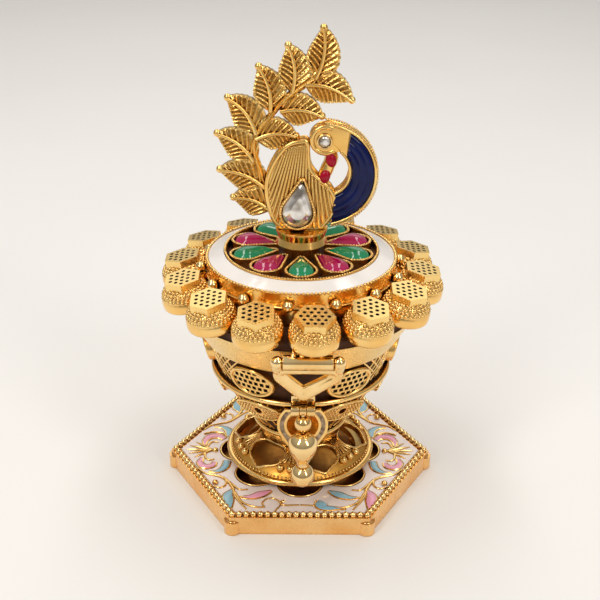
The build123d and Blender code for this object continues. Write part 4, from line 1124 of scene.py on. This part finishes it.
# A curl's course as (x, y, height to the front, radius)
curl_end = 5.5
curl_course = [(4.9, -3.4, -0.3, 0.6), (5.35, -2.5, -0.1, 0.85)]
curl_course += [(5.55, -1.2, 0.0, 1.08), (curl_end, 0.0, 0.0, 1.15)]
curl_end_radius = 1.2
curl_lines = []
curl_ends = []
for side in both:
    curl_lines.append([(*on_hasp(side * x, y, front), size) for x, y, front, size in curl_course])
    curl_ends.append(on_hasp(side * curl_end, 0.0, 0.0))
hasp = joined(
    [
        hasp,
        wires("curls", curl_lines, order=3, steps=8, sides=4),
        beads("ends", curl_ends, curl_end_radius, segments=20, rings=14),
    ]
)
smooth(hasp, angle=75)
settle(hasp, "hasp_frame", "clasp", polished_gold, ["clasp_frame"])
catch_rounding = 0.18
catch = cad_copy("clasp_catch", "catch", catch_rounding)
settle(catch, "hasp_catch", "root", polished_gold, ["clasp_catch"])

# Hasp: the tube and the prongs that hold it to the lid
tube_line = [(0.0, -4.5), (1.2, -4.5), (1.38, -4.35), (1.38, -1.1), (1.26, -0.5), (1.42, 0.1)]
tube_line += [(1.32, 0.7), (1.38, 1.3), (1.38, 4.35), (1.2, 4.5), (0.0, 4.5)]
prong_places = (-2.6, -1.1, 0.5, 2.2)
# A prong's course as (shift to the right, y, z, radius)
prong_course = ((0.0, -24.9, 39.5, 0.5), (0.0, -24.4, 40.3, 0.55), (0.2, -23.5, 40.5, 0.5))
tube = turned("tube", tube_line, steps=32)
tube.data.transform(Matrix.Translation(hasp_origin) @ Matrix.Rotation(math.pi / 2, 4, "Y"))
prong_lines = []
for across in prong_places:
    x = hasp_origin.x + across
    prong_lines.append([(x + shift, y, z, size) for shift, y, z, size in prong_course])
tube = joined([tube, wires("prongs", prong_lines, order=3, steps=6)])
smooth(tube, angle=50)
settle(tube, "hasp_tube", "lid", polished_gold, ["clasp_tube"])

# Drop: a pear bead that runs into its collar, and the ball below it
pear_place = Vector((0.5, -21.45, 19.2))
pear_radius = 2.75
pear_low = -4.15
pear_high = 2.66
ball_place = Vector((0.5, -21.35, 12.4))
ball_radius = 2.28
pear_line = [(0.0, pear_low), (1.25, pear_low), (1.3, -3.7), (1.62, -3.0), (2.15, -2.1), (2.56, -1.2)]
for turn in range(-12, 73, 6):
    angle = math.radians(turn)
    pear_line.append((pear_radius * math.cos(angle), pear_radius * math.sin(angle)))
pear_bead = turned("pear_bead", pear_line + [(0.0, pear_high)])
pear_bead.data.transform(Matrix.Translation(pear_place))
smooth(pear_bead, angle=60)
settle(pear_bead, "drop_pear", "drop", polished_gold, ["drop_bead_pear"])
ball_bead = beads("ball_bead", [ball_place], ball_radius, segments=48, rings=32)
smooth(ball_bead, angle=60)
settle(ball_bead, "drop_ball", "drop", polished_gold, ["drop_bead_ball"])

# Lid: one cap, copied round
cap_line = [(0.0, 0.0), (4.5, 0.0), (4.62, 0.12), (4.72, 0.5), (4.74, 0.95), (4.7, 1.75)]
cap_line += arc_through((4.62, 1.9), (4.1, 3.25), (3.2, 4.2), steps=8) + [(0.0, 4.3)]
cap_grain_rows = arc_through((4.34, 2.3), (4.05, 3.2), (3.42, 4.0), steps=3)
cap_grain_pitch = 0.84
cap_grain_radius = 0.36
hex_radius = 3.7
hex_low = 3.3
hex_top = 5.6
drill_radius = 0.35
drill_depth = 1.2
drill_pitch = 1.24
drill_row_pitch = drill_pitch * 0.866
drill_rows = range(-2, 3)
drill_longest = 5
cap_body = turned("cap_body", cap_line, steps=40)
cap_body.data.materials.append(antique_gold)
grains = []
for row, (radius, height) in enumerate(cap_grain_rows):
    count = int(math.tau * radius / cap_grain_pitch)
    grains.extend(ring_places(radius, height, count, 180 / count * (row % 2)))
cap_grains = beads("cap_grains", grains, cap_grain_radius)
cap_grains.data.materials.append(antique_gold)
hex_plate = added(
    bpy.ops.mesh.primitive_cylinder_add, vertices=6, radius=hex_radius, depth=hex_top - hex_low
)
hex_plate.data.transform(Matrix.Translation((0, 0, (hex_top + hex_low) / 2)) @ spun(30))
drill = added(bpy.ops.mesh.primitive_cylinder_add, vertices=14, radius=drill_radius, depth=drill_depth)
drill_places = []
for row in drill_rows:
    length = drill_longest - abs(row)
    for column in range(length):
        across = (column - (length - 1) / 2) * drill_pitch
        drill_places.append(Matrix.Translation((across, row * drill_row_pitch, hex_top)))
bored(hex_plate, drill, drill_places, satin_gold)
cap = joined([cap_body, cap_grains, hex_plate])
cap_places = []
for index in range(cap_count):
    turn = cap_turn + index * 360 / cap_count
    face = (30 if index else 0) - turn
    cap_places.append(
        spun(turn)
        @ Matrix.Translation((cap_circle, 0, cap_z))
        @ Matrix.Rotation(math.radians(cap_tilt), 4, "Y")
        @ spun(face)
    )
caps = copies("caps", cap, cap_places)
smooth(caps)
settle(caps, "lid_filigree_caps", "lid", None, ["lid_caps"])

# Lid: the polished balls between the caps
lid_ball_circle = 19.3
lid_ball_z = 46.75
lid_ball_radius = 1.05
ball_places = ring_places(lid_ball_circle, lid_ball_z, cap_count, cap_turn + 180 / cap_count)
lid_balls = beads("balls", ball_places, lid_ball_radius, segments=24, rings=16)
settle(lid_balls, "lid_balls", "lid", polished_gold, ["lid_beads"])

# Lid: milgrain on the drum, the inner lip and the stone settings
milgrain = ring_places(radius=18.1, height=48.75, count=150)
milgrain_radius = 0.34
lip_grains = ring_places(radius=14.62, height=50.02, count=170)
lip_grain_radius = 0.24
setting_z = 50.28
setting_grain_radius = 0.2
setting_round = 2.85
setting_point = 0.5
edge_places = ring_places(radius=18.36, height=45.95, count=48)
edge_wire = 0.2
stone_turn = 36
setting = even(pear(stone_round, setting_round, stone_tip, setting_point), count=42)
setting_grains = []
for stone in range(stone_count):
    for point in setting:
        setting_grains.append(spun(-90 + stone * stone_turn) @ Vector((point.x, point.y, setting_z)))
lid_work = joined(
    [
        beads("milgrain", milgrain, milgrain_radius),
        beads("lip_grains", lip_grains, lip_grain_radius),
        beads("setting_grains", setting_grains, setting_grain_radius),
        wires("edge_line", [[(*place, edge_wire) for place in edge_places]], closed=True, steps=3),
    ]
)
smooth(lid_work, angle=60)
settle(lid_work, "lid_milgrain", "lid", antique_gold)

# Lid: cabochons
stone_low = 48.9
stone_shoulder = 49.5
stone_crown = 2.0
stone_swell = 2.2
stone_fall = 0.6
stone_middle = (10.2, 0)
stone_radius = 2.5
stone_point = 0.15
stone_line = even(pear(stone_round, stone_radius, stone_tip, stone_point), count=56)


def stone_height(share):
    """A cabochon's height by the share of the way to its edge."""
    return stone_shoulder + stone_crown * (1 - share**stone_swell) ** stone_fall


for colour, first, material in (("green", 0, green_glass), ("magenta", 1, magenta_glass)):
    gems = []
    for stone in range(first, stone_count, 2):
        turn = spun(-90 + stone * stone_turn)

        def stone_place(point, height):
            """A point of a stone turned to its place."""
            return turn @ Vector((point.x, point.y, height))

        gems.append(pillow("gem", stone_line, stone_middle, stone_height, stone_place, 12, stone_low))
    gem_set = joined(gems)
    smooth(gem_set, angle=50)
    settle(gem_set, "cabochons_" + colour, "lid", material, [colour + "_stones"])


# Finial: shapes on its upright plane
def upright(point, depth):
    """A point of the finial's plane, moved towards the back by a depth."""
    return Vector((point[0], depth, finial_z + point[1]))


def half_shell(name, points, columns):
    """Rows of points closed by a wall that runs straight back to the finial's middle plane."""
    vertices = list(points)
    count = len(vertices)
    row_size = columns + 1
    last = count // row_size - 1
    faces = []
    for row in range(last):
        for column in range(columns):
            low = row * row_size + column
            faces.append((low, low + 1, low + row_size + 1, low + row_size))
    rim = [row * row_size for row in range(last + 1)]
    rim += [last * row_size + column for column in range(1, row_size)]
    rim += [row * row_size + columns for row in reversed(range(last))]
    rim += list(reversed(range(1, columns)))
    for corner in rim:
        spot = vertices[corner]
        vertices.append(Vector((spot.x, 0.0, spot.z)))
    for index in range(len(rim)):
        after = (index + 1) % len(rim)
        faces.append((rim[index], rim[after], count + after, count + index))
    return drawn(name, vertices, faces)


def domes(name, outline, centre, depth, rings, skirt=0.0):
    """A pillow on each face of the finial."""
    pieces = []
    for face in both:

        def place(point, height):
            """A point of the pillow on this face."""
            return upright(point, face * height)

        pieces.append(pillow(name, outline, centre, depth, place, rings, skirt))
    return pieces


# Finial: leaves with veins on both faces, each from its base to its tip with its bulge
leaf_ends = [
    ((2.3, 28.6), (3.8, 38.2), -0.8),
    ((-1.9, 26.0), (-2.6, 35.1), -0.85),
    ((-5.8, 22.5), (-8.0, 31.3), -0.85),
    ((-8.4, 18.3), (-13.9, 25.5), -0.95),
    ((-8.9, 13.2), (-16.1, 18.7), -0.9),
    ((-6.9, 8.0), (-15.9, 11.6), -0.9),
    ((-5.9, 3.4), (-13.5, 6.1), -0.9),
    ((0.5, 27.5), (9.6, 24.3), 0.95),
    ((-4.0, 22.5), (4.3, 21.5), 0.8),
    ((-8.5, 17.3), (-0.4, 17.9), 0.85),
]
leaf_half_width = 2.65
leaf_least_width = 0.3
leaf_taper = 0.78
leaf_round = 0.8
leaf_rows = 64
leaf_columns = 22
leaf_edge = 0.3
leaf_dome = 0.3
leaf_vein_shade = 0.38
leaf_fade = 8
leaf_edge_fade = 6
leaf_border = 0.7
leaf_scallop = 0.05
vein_height = 0.5
vein_pitch = 1.06
vein_slope = 0.8
vein_sharpness = 1.3
midrib_radius = 0.42
midrib_taper = 0.35
midrib_depth = leaf_edge + leaf_dome + 0.36
midrib_step = 8
tip_ball = 0.72
tip_drop = 0.02
finial_parts = []
midribs = []
tip_balls = []
for base, end, bulge in leaf_ends:
    base = Vector(base)
    along = Vector(end) - base
    length = along.length - tip_ball - tip_drop
    along.normalize()
    side = Vector((-along.y, along.x))
    middles = []
    for row in range(leaf_rows + 1):
        u = row / leaf_rows
        middles.append(base + along * length * u + side * bulge * 4 * u * (1 - u))
    for face in both:
        points = []
        vein_shade = []
        for row, middle in enumerate(middles):
            u = row / leaf_rows
            tangent = (along * length + side * bulge * 4 * (1 - 2 * u)).normalized()
            across = Vector((-tangent.y, tangent.x))
            width = leaf_half_width * math.sin(math.pi * u**leaf_taper) ** leaf_round
            width += leaf_least_width
            fade = min(1.0, leaf_fade * u, leaf_fade * (1 - u))
            for column in range(leaf_columns + 1):
                v = 2 * column / leaf_columns - 1
                phase = (u * length - abs(v) * width * vein_slope) / vein_pitch
                ridge = (0.5 + 0.5 * math.cos(math.tau * phase)) ** vein_sharpness
                inner = min(1.0, leaf_edge_fade * (1 - abs(v)))
                rise = leaf_edge + leaf_dome * (1 - v * v) * fade
                rise += vein_height * (ridge * inner + leaf_border * (1 - inner)) * fade
                spread = v * width * (1 + leaf_scallop * ridge * abs(v))
                points.append(upright(middle + across * spread, face * rise))
                # Painted shade in the troughs between the veins, handed to the gold as the mesh's mark
                vein_shade.append(leaf_vein_shade * (1 - ridge) ** 2 * inner * fade)
        leaf = half_shell("leaf", points, leaf_columns)
        wall = len(leaf.data.vertices) - len(vein_shade)
        marks = leaf.data.attributes.new("painted_shade", "FLOAT", "POINT")
        marks.data.foreach_set("value", vein_shade + [0.0] * wall)
        finial_parts.append(leaf)
        rib_line = []
        for row in range(0, leaf_rows + 1, midrib_step):
            radius = midrib_radius * (1 - midrib_taper * row / leaf_rows)
            rib_line.append((*upright(middles[row], face * midrib_depth), radius))
        midribs.append(rib_line)
    tip_balls.append(upright(middles[-1], 0.0))

# Finial: the stem, the body with its fan of ropes and its border
stem_points = [(-6.6, 8.0), (-8.8, 14.9), (-8.1, 18.5), (-5.7, 21.7), (-2.2, 25.6), (2.4, 28.8)]
stem_radius = 0.62
stem_depth = 1.9
body_left = [(0.9, 17.2), (-2.8, 16.2), (-5.7, 11.8), (-6.5, 7.6), (-5.4, 2.3), (-3.6, 0.1)]
body_right = [(3.6, 0.1), (5.9, 3.4), (6.0, 6.2), (4.9, 8.3), (1.5, 11.8), (0.9, 17.2)]
body_line = flowing(body_left) + flowing(body_right)[:-1]
body_centre = Vector((-0.2, 6.4))
body_edge = 1.2
body_dome = 1.0
rope_apex = Vector((1.0, 27.0))
rope_level = 6.0
rope_low = 0.3
rope_step = 0.14
rope_steps = 120
rope_pitch = 0.74
rope_radius = 0.3
rope_twist = 0.12
rope_reach = 0.95
rope_least = 6
rope_places = range(-11, 10)
border_radius = 0.5


def body_depth(share):
    """The body's half thickness by the share of the way to its edge."""
    return body_edge + body_dome * math.sqrt(max(0.0, 1 - share * share))


stem_line = [(*upright(point, 0.0), stem_radius) for point in flowing(stem_points, steps=4)]
stem_wire = wires("stem", [stem_line])
stem_wire.data.transform(Matrix.Diagonal((1, stem_depth, 1, 1)))
ropes = []
for rope in rope_places:
    inside = []
    for step in range(rope_steps):
        height = rope_low + step * rope_step
        narrow = (rope_apex.y - height) / (rope_apex.y - rope_level)
        x = rope_apex.x + (rope + 0.5) * rope_pitch * narrow
        share = rim_share((x, height), body_line, body_centre)
        if share < rope_reach:
            size = rope_radius * (0.5 + 0.5 * narrow) * (1.0 + rope_twist * (-1) ** step)
            inside.append((x, height, body_depth(share), size))
    if len(inside) < rope_least:
        continue
    for face in both:
        ropes.append([(*upright((x, height), face * depth), size) for x, height, depth, size in inside])
border_loops = []
for face in both:
    loop = even(body_line, count=60)
    border_loops.append([(*upright(point, face * body_edge), border_radius) for point in loop])
finial_parts += domes("body", even(body_line, count=72), body_centre, body_depth, rings=12)

# Finial: the head's ring and dish, the neck's rims and the wattle's frame
head_centre = Vector((4.3, 17.4))
head_ring = 2.5
head_ring_wire = 0.5
head_dish = 1.2
head_dip = 0.2
head_ring_span = slice(6, 32)
neck_steps = 48
outer_arc = arc_through((4.4, 20.4), (13.7, 11.8), (5.6, 1.0), neck_steps)
inner_arc = arc_through((7.1, 15.2), (8.9, 11.8), (6.1, 7.0), neck_steps)
neck_plate = 1.2
neck_columns = 24
neck_rim = 0.3
neck_rim_depth = 1.25
neck_rim_step = 4
neck_start = 8
neck_middle = Vector((6.5, 10.8))
neck_grain_count = 60
neck_grain_out = 0.3
neck_grain_depth = 1.3
neck_grain_radius = 0.2
wattle_path = [(5.2, 15.0), (5.7, 13.8), (4.9, 12.2), (4.4, 10.9), (3.9, 9.4)]
wattle_sizes = (0.9, 1.5, 1.0, 1.45, 0.9)
wattle_depth = 1.1


def head_depth(share):
    """The head's half thickness by the share of the way to its edge."""
    return head_dish - head_dip * share**2


def neck_sheet(name, start, inset, depth):
    """A strip between the neck's arcs on both faces, from a start along them."""
    pieces = []
    for face in both:
        points = []
        for step in range(start, neck_steps + 1):
            outer = Vector(outer_arc[step])
            inner = Vector(inner_arc[step])
            trim = inset / (outer - inner).length
            for column in range(neck_columns + 1):
                share = column / neck_columns
                spot = outer.lerp(inner, trim + (1 - 2 * trim) * share)
                points.append(upright(spot, face * depth(share)))
        piece = half_shell(name, points, neck_columns)
        outward(piece)
        pieces.append(piece)
    return joined(pieces)


head_line = [head_centre + polar(turn, head_ring, 0).xy for turn in range(0, 360, 10)]
finial_parts += domes("head", head_line, head_centre, head_depth, rings=6)
finial_parts.append(neck_sheet("neck_plate", 0, 0.0, lambda share: neck_plate))
head_loops = []
neck_lines = []
neck_grains = []
for face in both:
    ring_points = [upright(point, face * head_dish) for point in head_line[head_ring_span]]
    head_loops.append([(*point, head_ring_wire) for point in ring_points])
    for arc in (outer_arc, inner_arc):
        depth = face * neck_rim_depth
        neck_lines.append([(*upright(point, depth), neck_rim) for point in arc[::neck_rim_step]])
    for point in even(outer_arc, neck_grain_count, closed=False):
        away = (point - neck_middle).normalized() * neck_grain_out
        neck_grains.append(upright(point + away, face * neck_grain_depth))
wattle_line = [(*upright(point, 0.0), size) for point, size in zip(wattle_path, wattle_sizes)]
wattle_frame = wires("wattle", [wattle_line], steps=6)
wattle_frame.data.transform(Matrix.Diagonal((1, wattle_depth, 1, 1)))
finial_parts += [
    wires("midribs", midribs),
    stem_wire,
    wires("ropes", ropes, order=3, steps=2),
    wires("border", border_loops, closed=True, steps=2),
    wires("head_rings", head_loops, steps=2),
    wires("neck_rims", neck_lines),
    beads("neck_grains", neck_grains, neck_grain_radius),
    wattle_frame,
    beads("tips", tip_balls, tip_ball, segments=14, rings=9),
]
peacock = joined(finial_parts)
outward(peacock)
smooth(peacock, angle=50)
settle(peacock, "peacock_finial", "lid", cast_gold, ["peacock_casting"])

# Finial: the polished face between the head's ring and the neck
face_centre = Vector((5.3, 17.3))
face_inset = 0.35
face_thick = 1.5
face_fall = 0.09
face_skirt = 1.0
face_span = slice(9, 31)
face_line = [Vector(point) for point in head_line[face_span]]
face_line += [Vector(point) for point in inner_arc[: neck_start + 1]]
for point in reversed(outer_arc[: neck_start + 1]):
    point = Vector(point)
    face_line.append(point + (face_centre - point).normalized() * face_inset)
face_line = even(face_line, count=64)


def face_depth(share):
    """The face's half thickness by the share of the way to its edge."""
    return face_thick - face_fall * share**2


face_piece = joined(domes("face", face_line, face_centre, face_depth, rings=14, skirt=face_skirt))
smooth(face_piece, angle=180)
settle(face_piece, "peacock_face", "lid", hammered_gold)

# Finial: enamel of the neck and the wattle
neck_grooves = 3.0
neck_groove_depth = 0.2
neck_crown = 0.4
neck_round = 0.6
neck_inset = 0.36
# The wattle's cells as (place, tilt)
wattle_cells = (((5.35, 13.6), -0.25), ((4.25, 10.35), 0.3))
wattle_cell_depth = 1.2
wattle_cell_scale = (1.0, 0.75, 1.4)


def neck_depth(share):
    """The neck enamel's half thickness across it, with grooves along its length."""
    groove = abs(math.sin(neck_grooves * math.pi * share)) ** neck_round
    crown = math.sin(math.pi * share) ** neck_round
    return neck_rim_depth + neck_crown * crown + neck_groove_depth * groove


neck_enamel = neck_sheet("neck", neck_start, neck_inset, neck_depth)
outward(neck_enamel)
smooth(neck_enamel, angle=60)
settle(neck_enamel, "neck_enamel_bands", "lid", navy_enamel, ["neck_enamel"])
red_cells = []
for face in both:
    for spot, tilt in wattle_cells:
        cell = added(
            bpy.ops.mesh.primitive_uv_sphere_add,
            segments=20,
            ring_count=12,
            radius=1.0,
            location=upright(spot, face * wattle_cell_depth),
            scale=wattle_cell_scale,
            rotation=(0, tilt, 0),
        )
        bpy.ops.object.transform_apply(location=True, rotation=True, scale=True)
        bpy.ops.object.shade_smooth()
        red_cells.append(cell)
settle(joined(red_cells), "wattle_red_cells", "lid", red_enamel, ["wattle_enamel"])


# Finial: faceted crystals
def faceted(name, outline, centre, levels):
    """A stone with rings of facets. levels gives each ring's share of the outline and its depth."""
    centre = Vector(centre)
    count = len(outline)
    vertices = []
    faces = []
    for ring, (share, depth) in enumerate(levels):
        for index in range(count):
            point = outline[index]
            if ring % 2:
                point = (point + outline[(index + 1) % count]) / 2
            vertices.append(upright(centre + (point - centre) * share, depth))
    for ring in range(len(levels) - 1):
        low = ring * count
        high = low + count
        for index in range(count):
            after = (index + 1) % count
            if ring % 2:
                faces.append((low + index, high + after, high + index))
                faces.append((low + index, low + after, high + after))
            else:
                faces.append((low + index, low + after, high + index))
                faces.append((low + after, high + after, high + index))
    faces.append(tuple(range((len(levels) - 1) * count, len(levels) * count)))
    faces.append(tuple(reversed(range(count))))
    piece = drawn(name, vertices, faces)
    outward(piece)
    return piece


crystal_base = Vector((-0.8, 3.75))
crystal_tip = Vector((0.15, 10.1))
crystal_reach = (crystal_tip - crystal_base).length
crystal_centre = (-0.65, 4.5)
crystal_radius = 2.95
crystal_point = 0.3
crystal_short = 0.4
crystal_levels = ((1.0, -2.2), (0.98, -2.85), (0.78, -3.35), (0.5, -3.7))
collet_radius = 3.2
collet_point = 0.45
collet_short = 0.1
collet_depths = (-2.05, -2.4, -2.75)
collet_wire = 0.3
collet_grain_depth = -2.98
collet_grain_radius = 0.2
eye_centre = Vector((4.1, 17.3))
eye_radius = 1.12
eye_levels = ((1.0, -1.5), (0.98, -1.95), (0.75, -2.3), (0.45, -2.5))
setting_radius = 1.28
setting_depths = (-1.55, -1.85)
setting_wire = 0.2


def leaned(points):
    """An outline drawn along the first axis, turned to run from the crystal's base to its tip."""
    axis = (crystal_tip - crystal_base).normalized()
    side = Vector((-axis.y, axis.x))
    return [crystal_base + axis * point[0] + side * point[1] for point in points]


def eye_circle(radius, count):
    """Points round the eye."""
    return [eye_centre + polar(index * 360 / count, radius, 0).xy for index in range(count)]


crystal_pear = pear(0, crystal_radius, crystal_reach - crystal_short, crystal_point)
crystal_line = even(leaned(crystal_pear), count=18)
crystal = faceted("crystal", crystal_line, crystal_centre, crystal_levels)
settle(crystal, "body_crystal", "lid", crystal_foil, ["body_stone"])
collet_pear = pear(0, collet_radius, crystal_reach - collet_short, collet_point)
collet_line = even(leaned(collet_pear), count=40)
collet_loops = []
for depth in collet_depths:
    collet_loops.append([(*upright(point, depth), collet_wire) for point in collet_line])
collet_grains = [upright(point, collet_grain_depth) for point in even(collet_line, count=46)]
collet = joined(
    [
        wires("collet", collet_loops, closed=True, steps=2),
        beads("collet_grains", collet_grains, collet_grain_radius),
    ]
)
smooth(collet, angle=60)
settle(collet, "body_collet", "lid", antique_gold, ["body_bezel"])
eye = faceted("eye", eye_circle(eye_radius, count=12), eye_centre, eye_levels)
settle(eye, "eye_crystal", "lid", crystal_foil, ["eye_stone"])
eye_loops = []
eye_line = eye_circle(setting_radius, count=24)
for depth in setting_depths:
    eye_loops.append([(*upright(point, depth), setting_wire) for point in eye_line])
eye_collet = wires("eye_collet", eye_loops, closed=True, steps=2)
smooth(eye_collet, angle=60)
settle(eye_collet, "eye_setting", "lid", polished_gold, ["eye_bezel"])

# Finishes of the CAD pieces that stay
stay = {
    antique_gold: (
        "foot_rim",
        "neck_drum",
        "bowl_mid_ring",
        "bowl_low_ring",
        "bowl_eye_plaques",
        "bowl_hinge",
        "hinge_pin",
        "drop_plate",
        "lid_hinge",
        "jewel_bezels",
    ),
    fan_gold: ("foot_dome",),
    brushed_gold: ("base_tray",),
    hammered_gold: ("lid_drum", "finial_collar"),
    cup_gold: ("bowl_cup",),
    plate_gold: ("lid_plate",),
    shadowed_gold: ("pedestal_tube", "jewel_floor"),
    satin_gold: ("bowl_rim_band",),
    polished_gold: ("catch_pivot", "clasp_pivot", "drop_pin", "drop_bead_top", "drop_collar"),
    plain_steel: ("pedestal_screw", "pedestal_nut", "finial_stud", "finial_nut"),
    pearl_enamel: ("base_enamel_field",),
    white_enamel: ("lid_enamel_ring",),
    grey_inlay: ("drop_plate_inlay",),
}
for material, nodes in stay.items():
    for node in nodes:
        for slot in cad[node].material_slots:
            slot.material = material

# Stage: the floor
floor = added(bpy.ops.mesh.primitive_plane_add, size=30.0)
floor.name = "floor"
floor.data.materials.append(plain_finish("pale_floor", (0.86, 0.84, 0.81), (0.84, 0.82, 0.79), 0.6, 8.0))


# Stage: the lamps and the sky
def lamp(name, place, width, length, power, colour, aim=None):
    """A soft light panel that looks at a point, or straight down."""
    data = bpy.data.lights.new(name, "AREA")
    data.shape = "RECTANGLE"
    data.size = width
    data.size_y = length
    data.energy = power
    data.color = colour
    light = bpy.data.objects.new(name, data)
    light.location = place
    if aim is not None:
        light.rotation_euler = (Vector(aim) - Vector(place)).to_track_quat("-Z", "Y").to_euler()
    bpy.context.collection.objects.link(light)


middle = (0, 0, 0.045)
strip_white = (1.0, 0.98, 0.96)
lamp("key_light", (-0.26, -0.3, 0.42), 0.09, 0.34, power=0.74, colour=(1.0, 0.97, 0.93), aim=middle)
lamp("fill_light", (0.3, -0.32, 0.36), 0.08, 0.32, power=0.58, colour=(1.0, 0.97, 0.94), aim=middle)
lamp("left_strip", (-0.17, 0.08, 0.5), 0.1, 0.4, power=0.66, colour=strip_white)
lamp("right_strip", (0.17, 0.08, 0.5), 0.1, 0.4, power=0.6, colour=strip_white)
lamp("back_card", (0, 0.5, 0.42), 0.7, 0.3, power=0.52, colour=(1.0, 0.97, 0.92), aim=middle)
sky_colour = (0.95, 0.93, 0.9, 1.0)
sky_low = 0.1
sky_high = 0.75
sky_low_strength = 0.3
sky_high_strength = 0.52
world = bpy.data.worlds.new("studio")
world.use_nodes = True
sky = world.node_tree.nodes
sky_links = world.node_tree.links
sky["Background"].inputs["Color"].default_value = sky_colour
sky_split = sky.new("ShaderNodeSeparateXYZ")
sky_links.new(sky.new("ShaderNodeTexCoord").outputs["Generated"], sky_split.inputs["Vector"])
sky_light = ranged(
    sky, sky_links, sky_split.outputs["Z"], sky_low, sky_high, sky_low_strength, sky_high_strength
)
sky_links.new(sky_light, sky["Background"].inputs["Strength"])
bpy.context.scene.world = world
bpy.context.scene.view_settings.view_transform = "Standard"

# Stage: the camera
camera_tilt = 63.996
camera_roll = 0.371
camera_data = bpy.data.cameras.new("camera")
camera_data.sensor_width = 36.0
camera_data.lens = 65.713
camera = bpy.data.objects.new("camera", camera_data)
camera.location = (-0.000197, -0.19314, 0.13303)
camera_turn = Matrix.Rotation(math.radians(camera_tilt), 4, "X")
camera_turn = camera_turn @ Matrix.Rotation(math.radians(camera_roll), 4, "Z")
camera.rotation_euler = camera_turn.to_euler()
bpy.context.collection.objects.link(camera)
bpy.context.scene.camera = camera
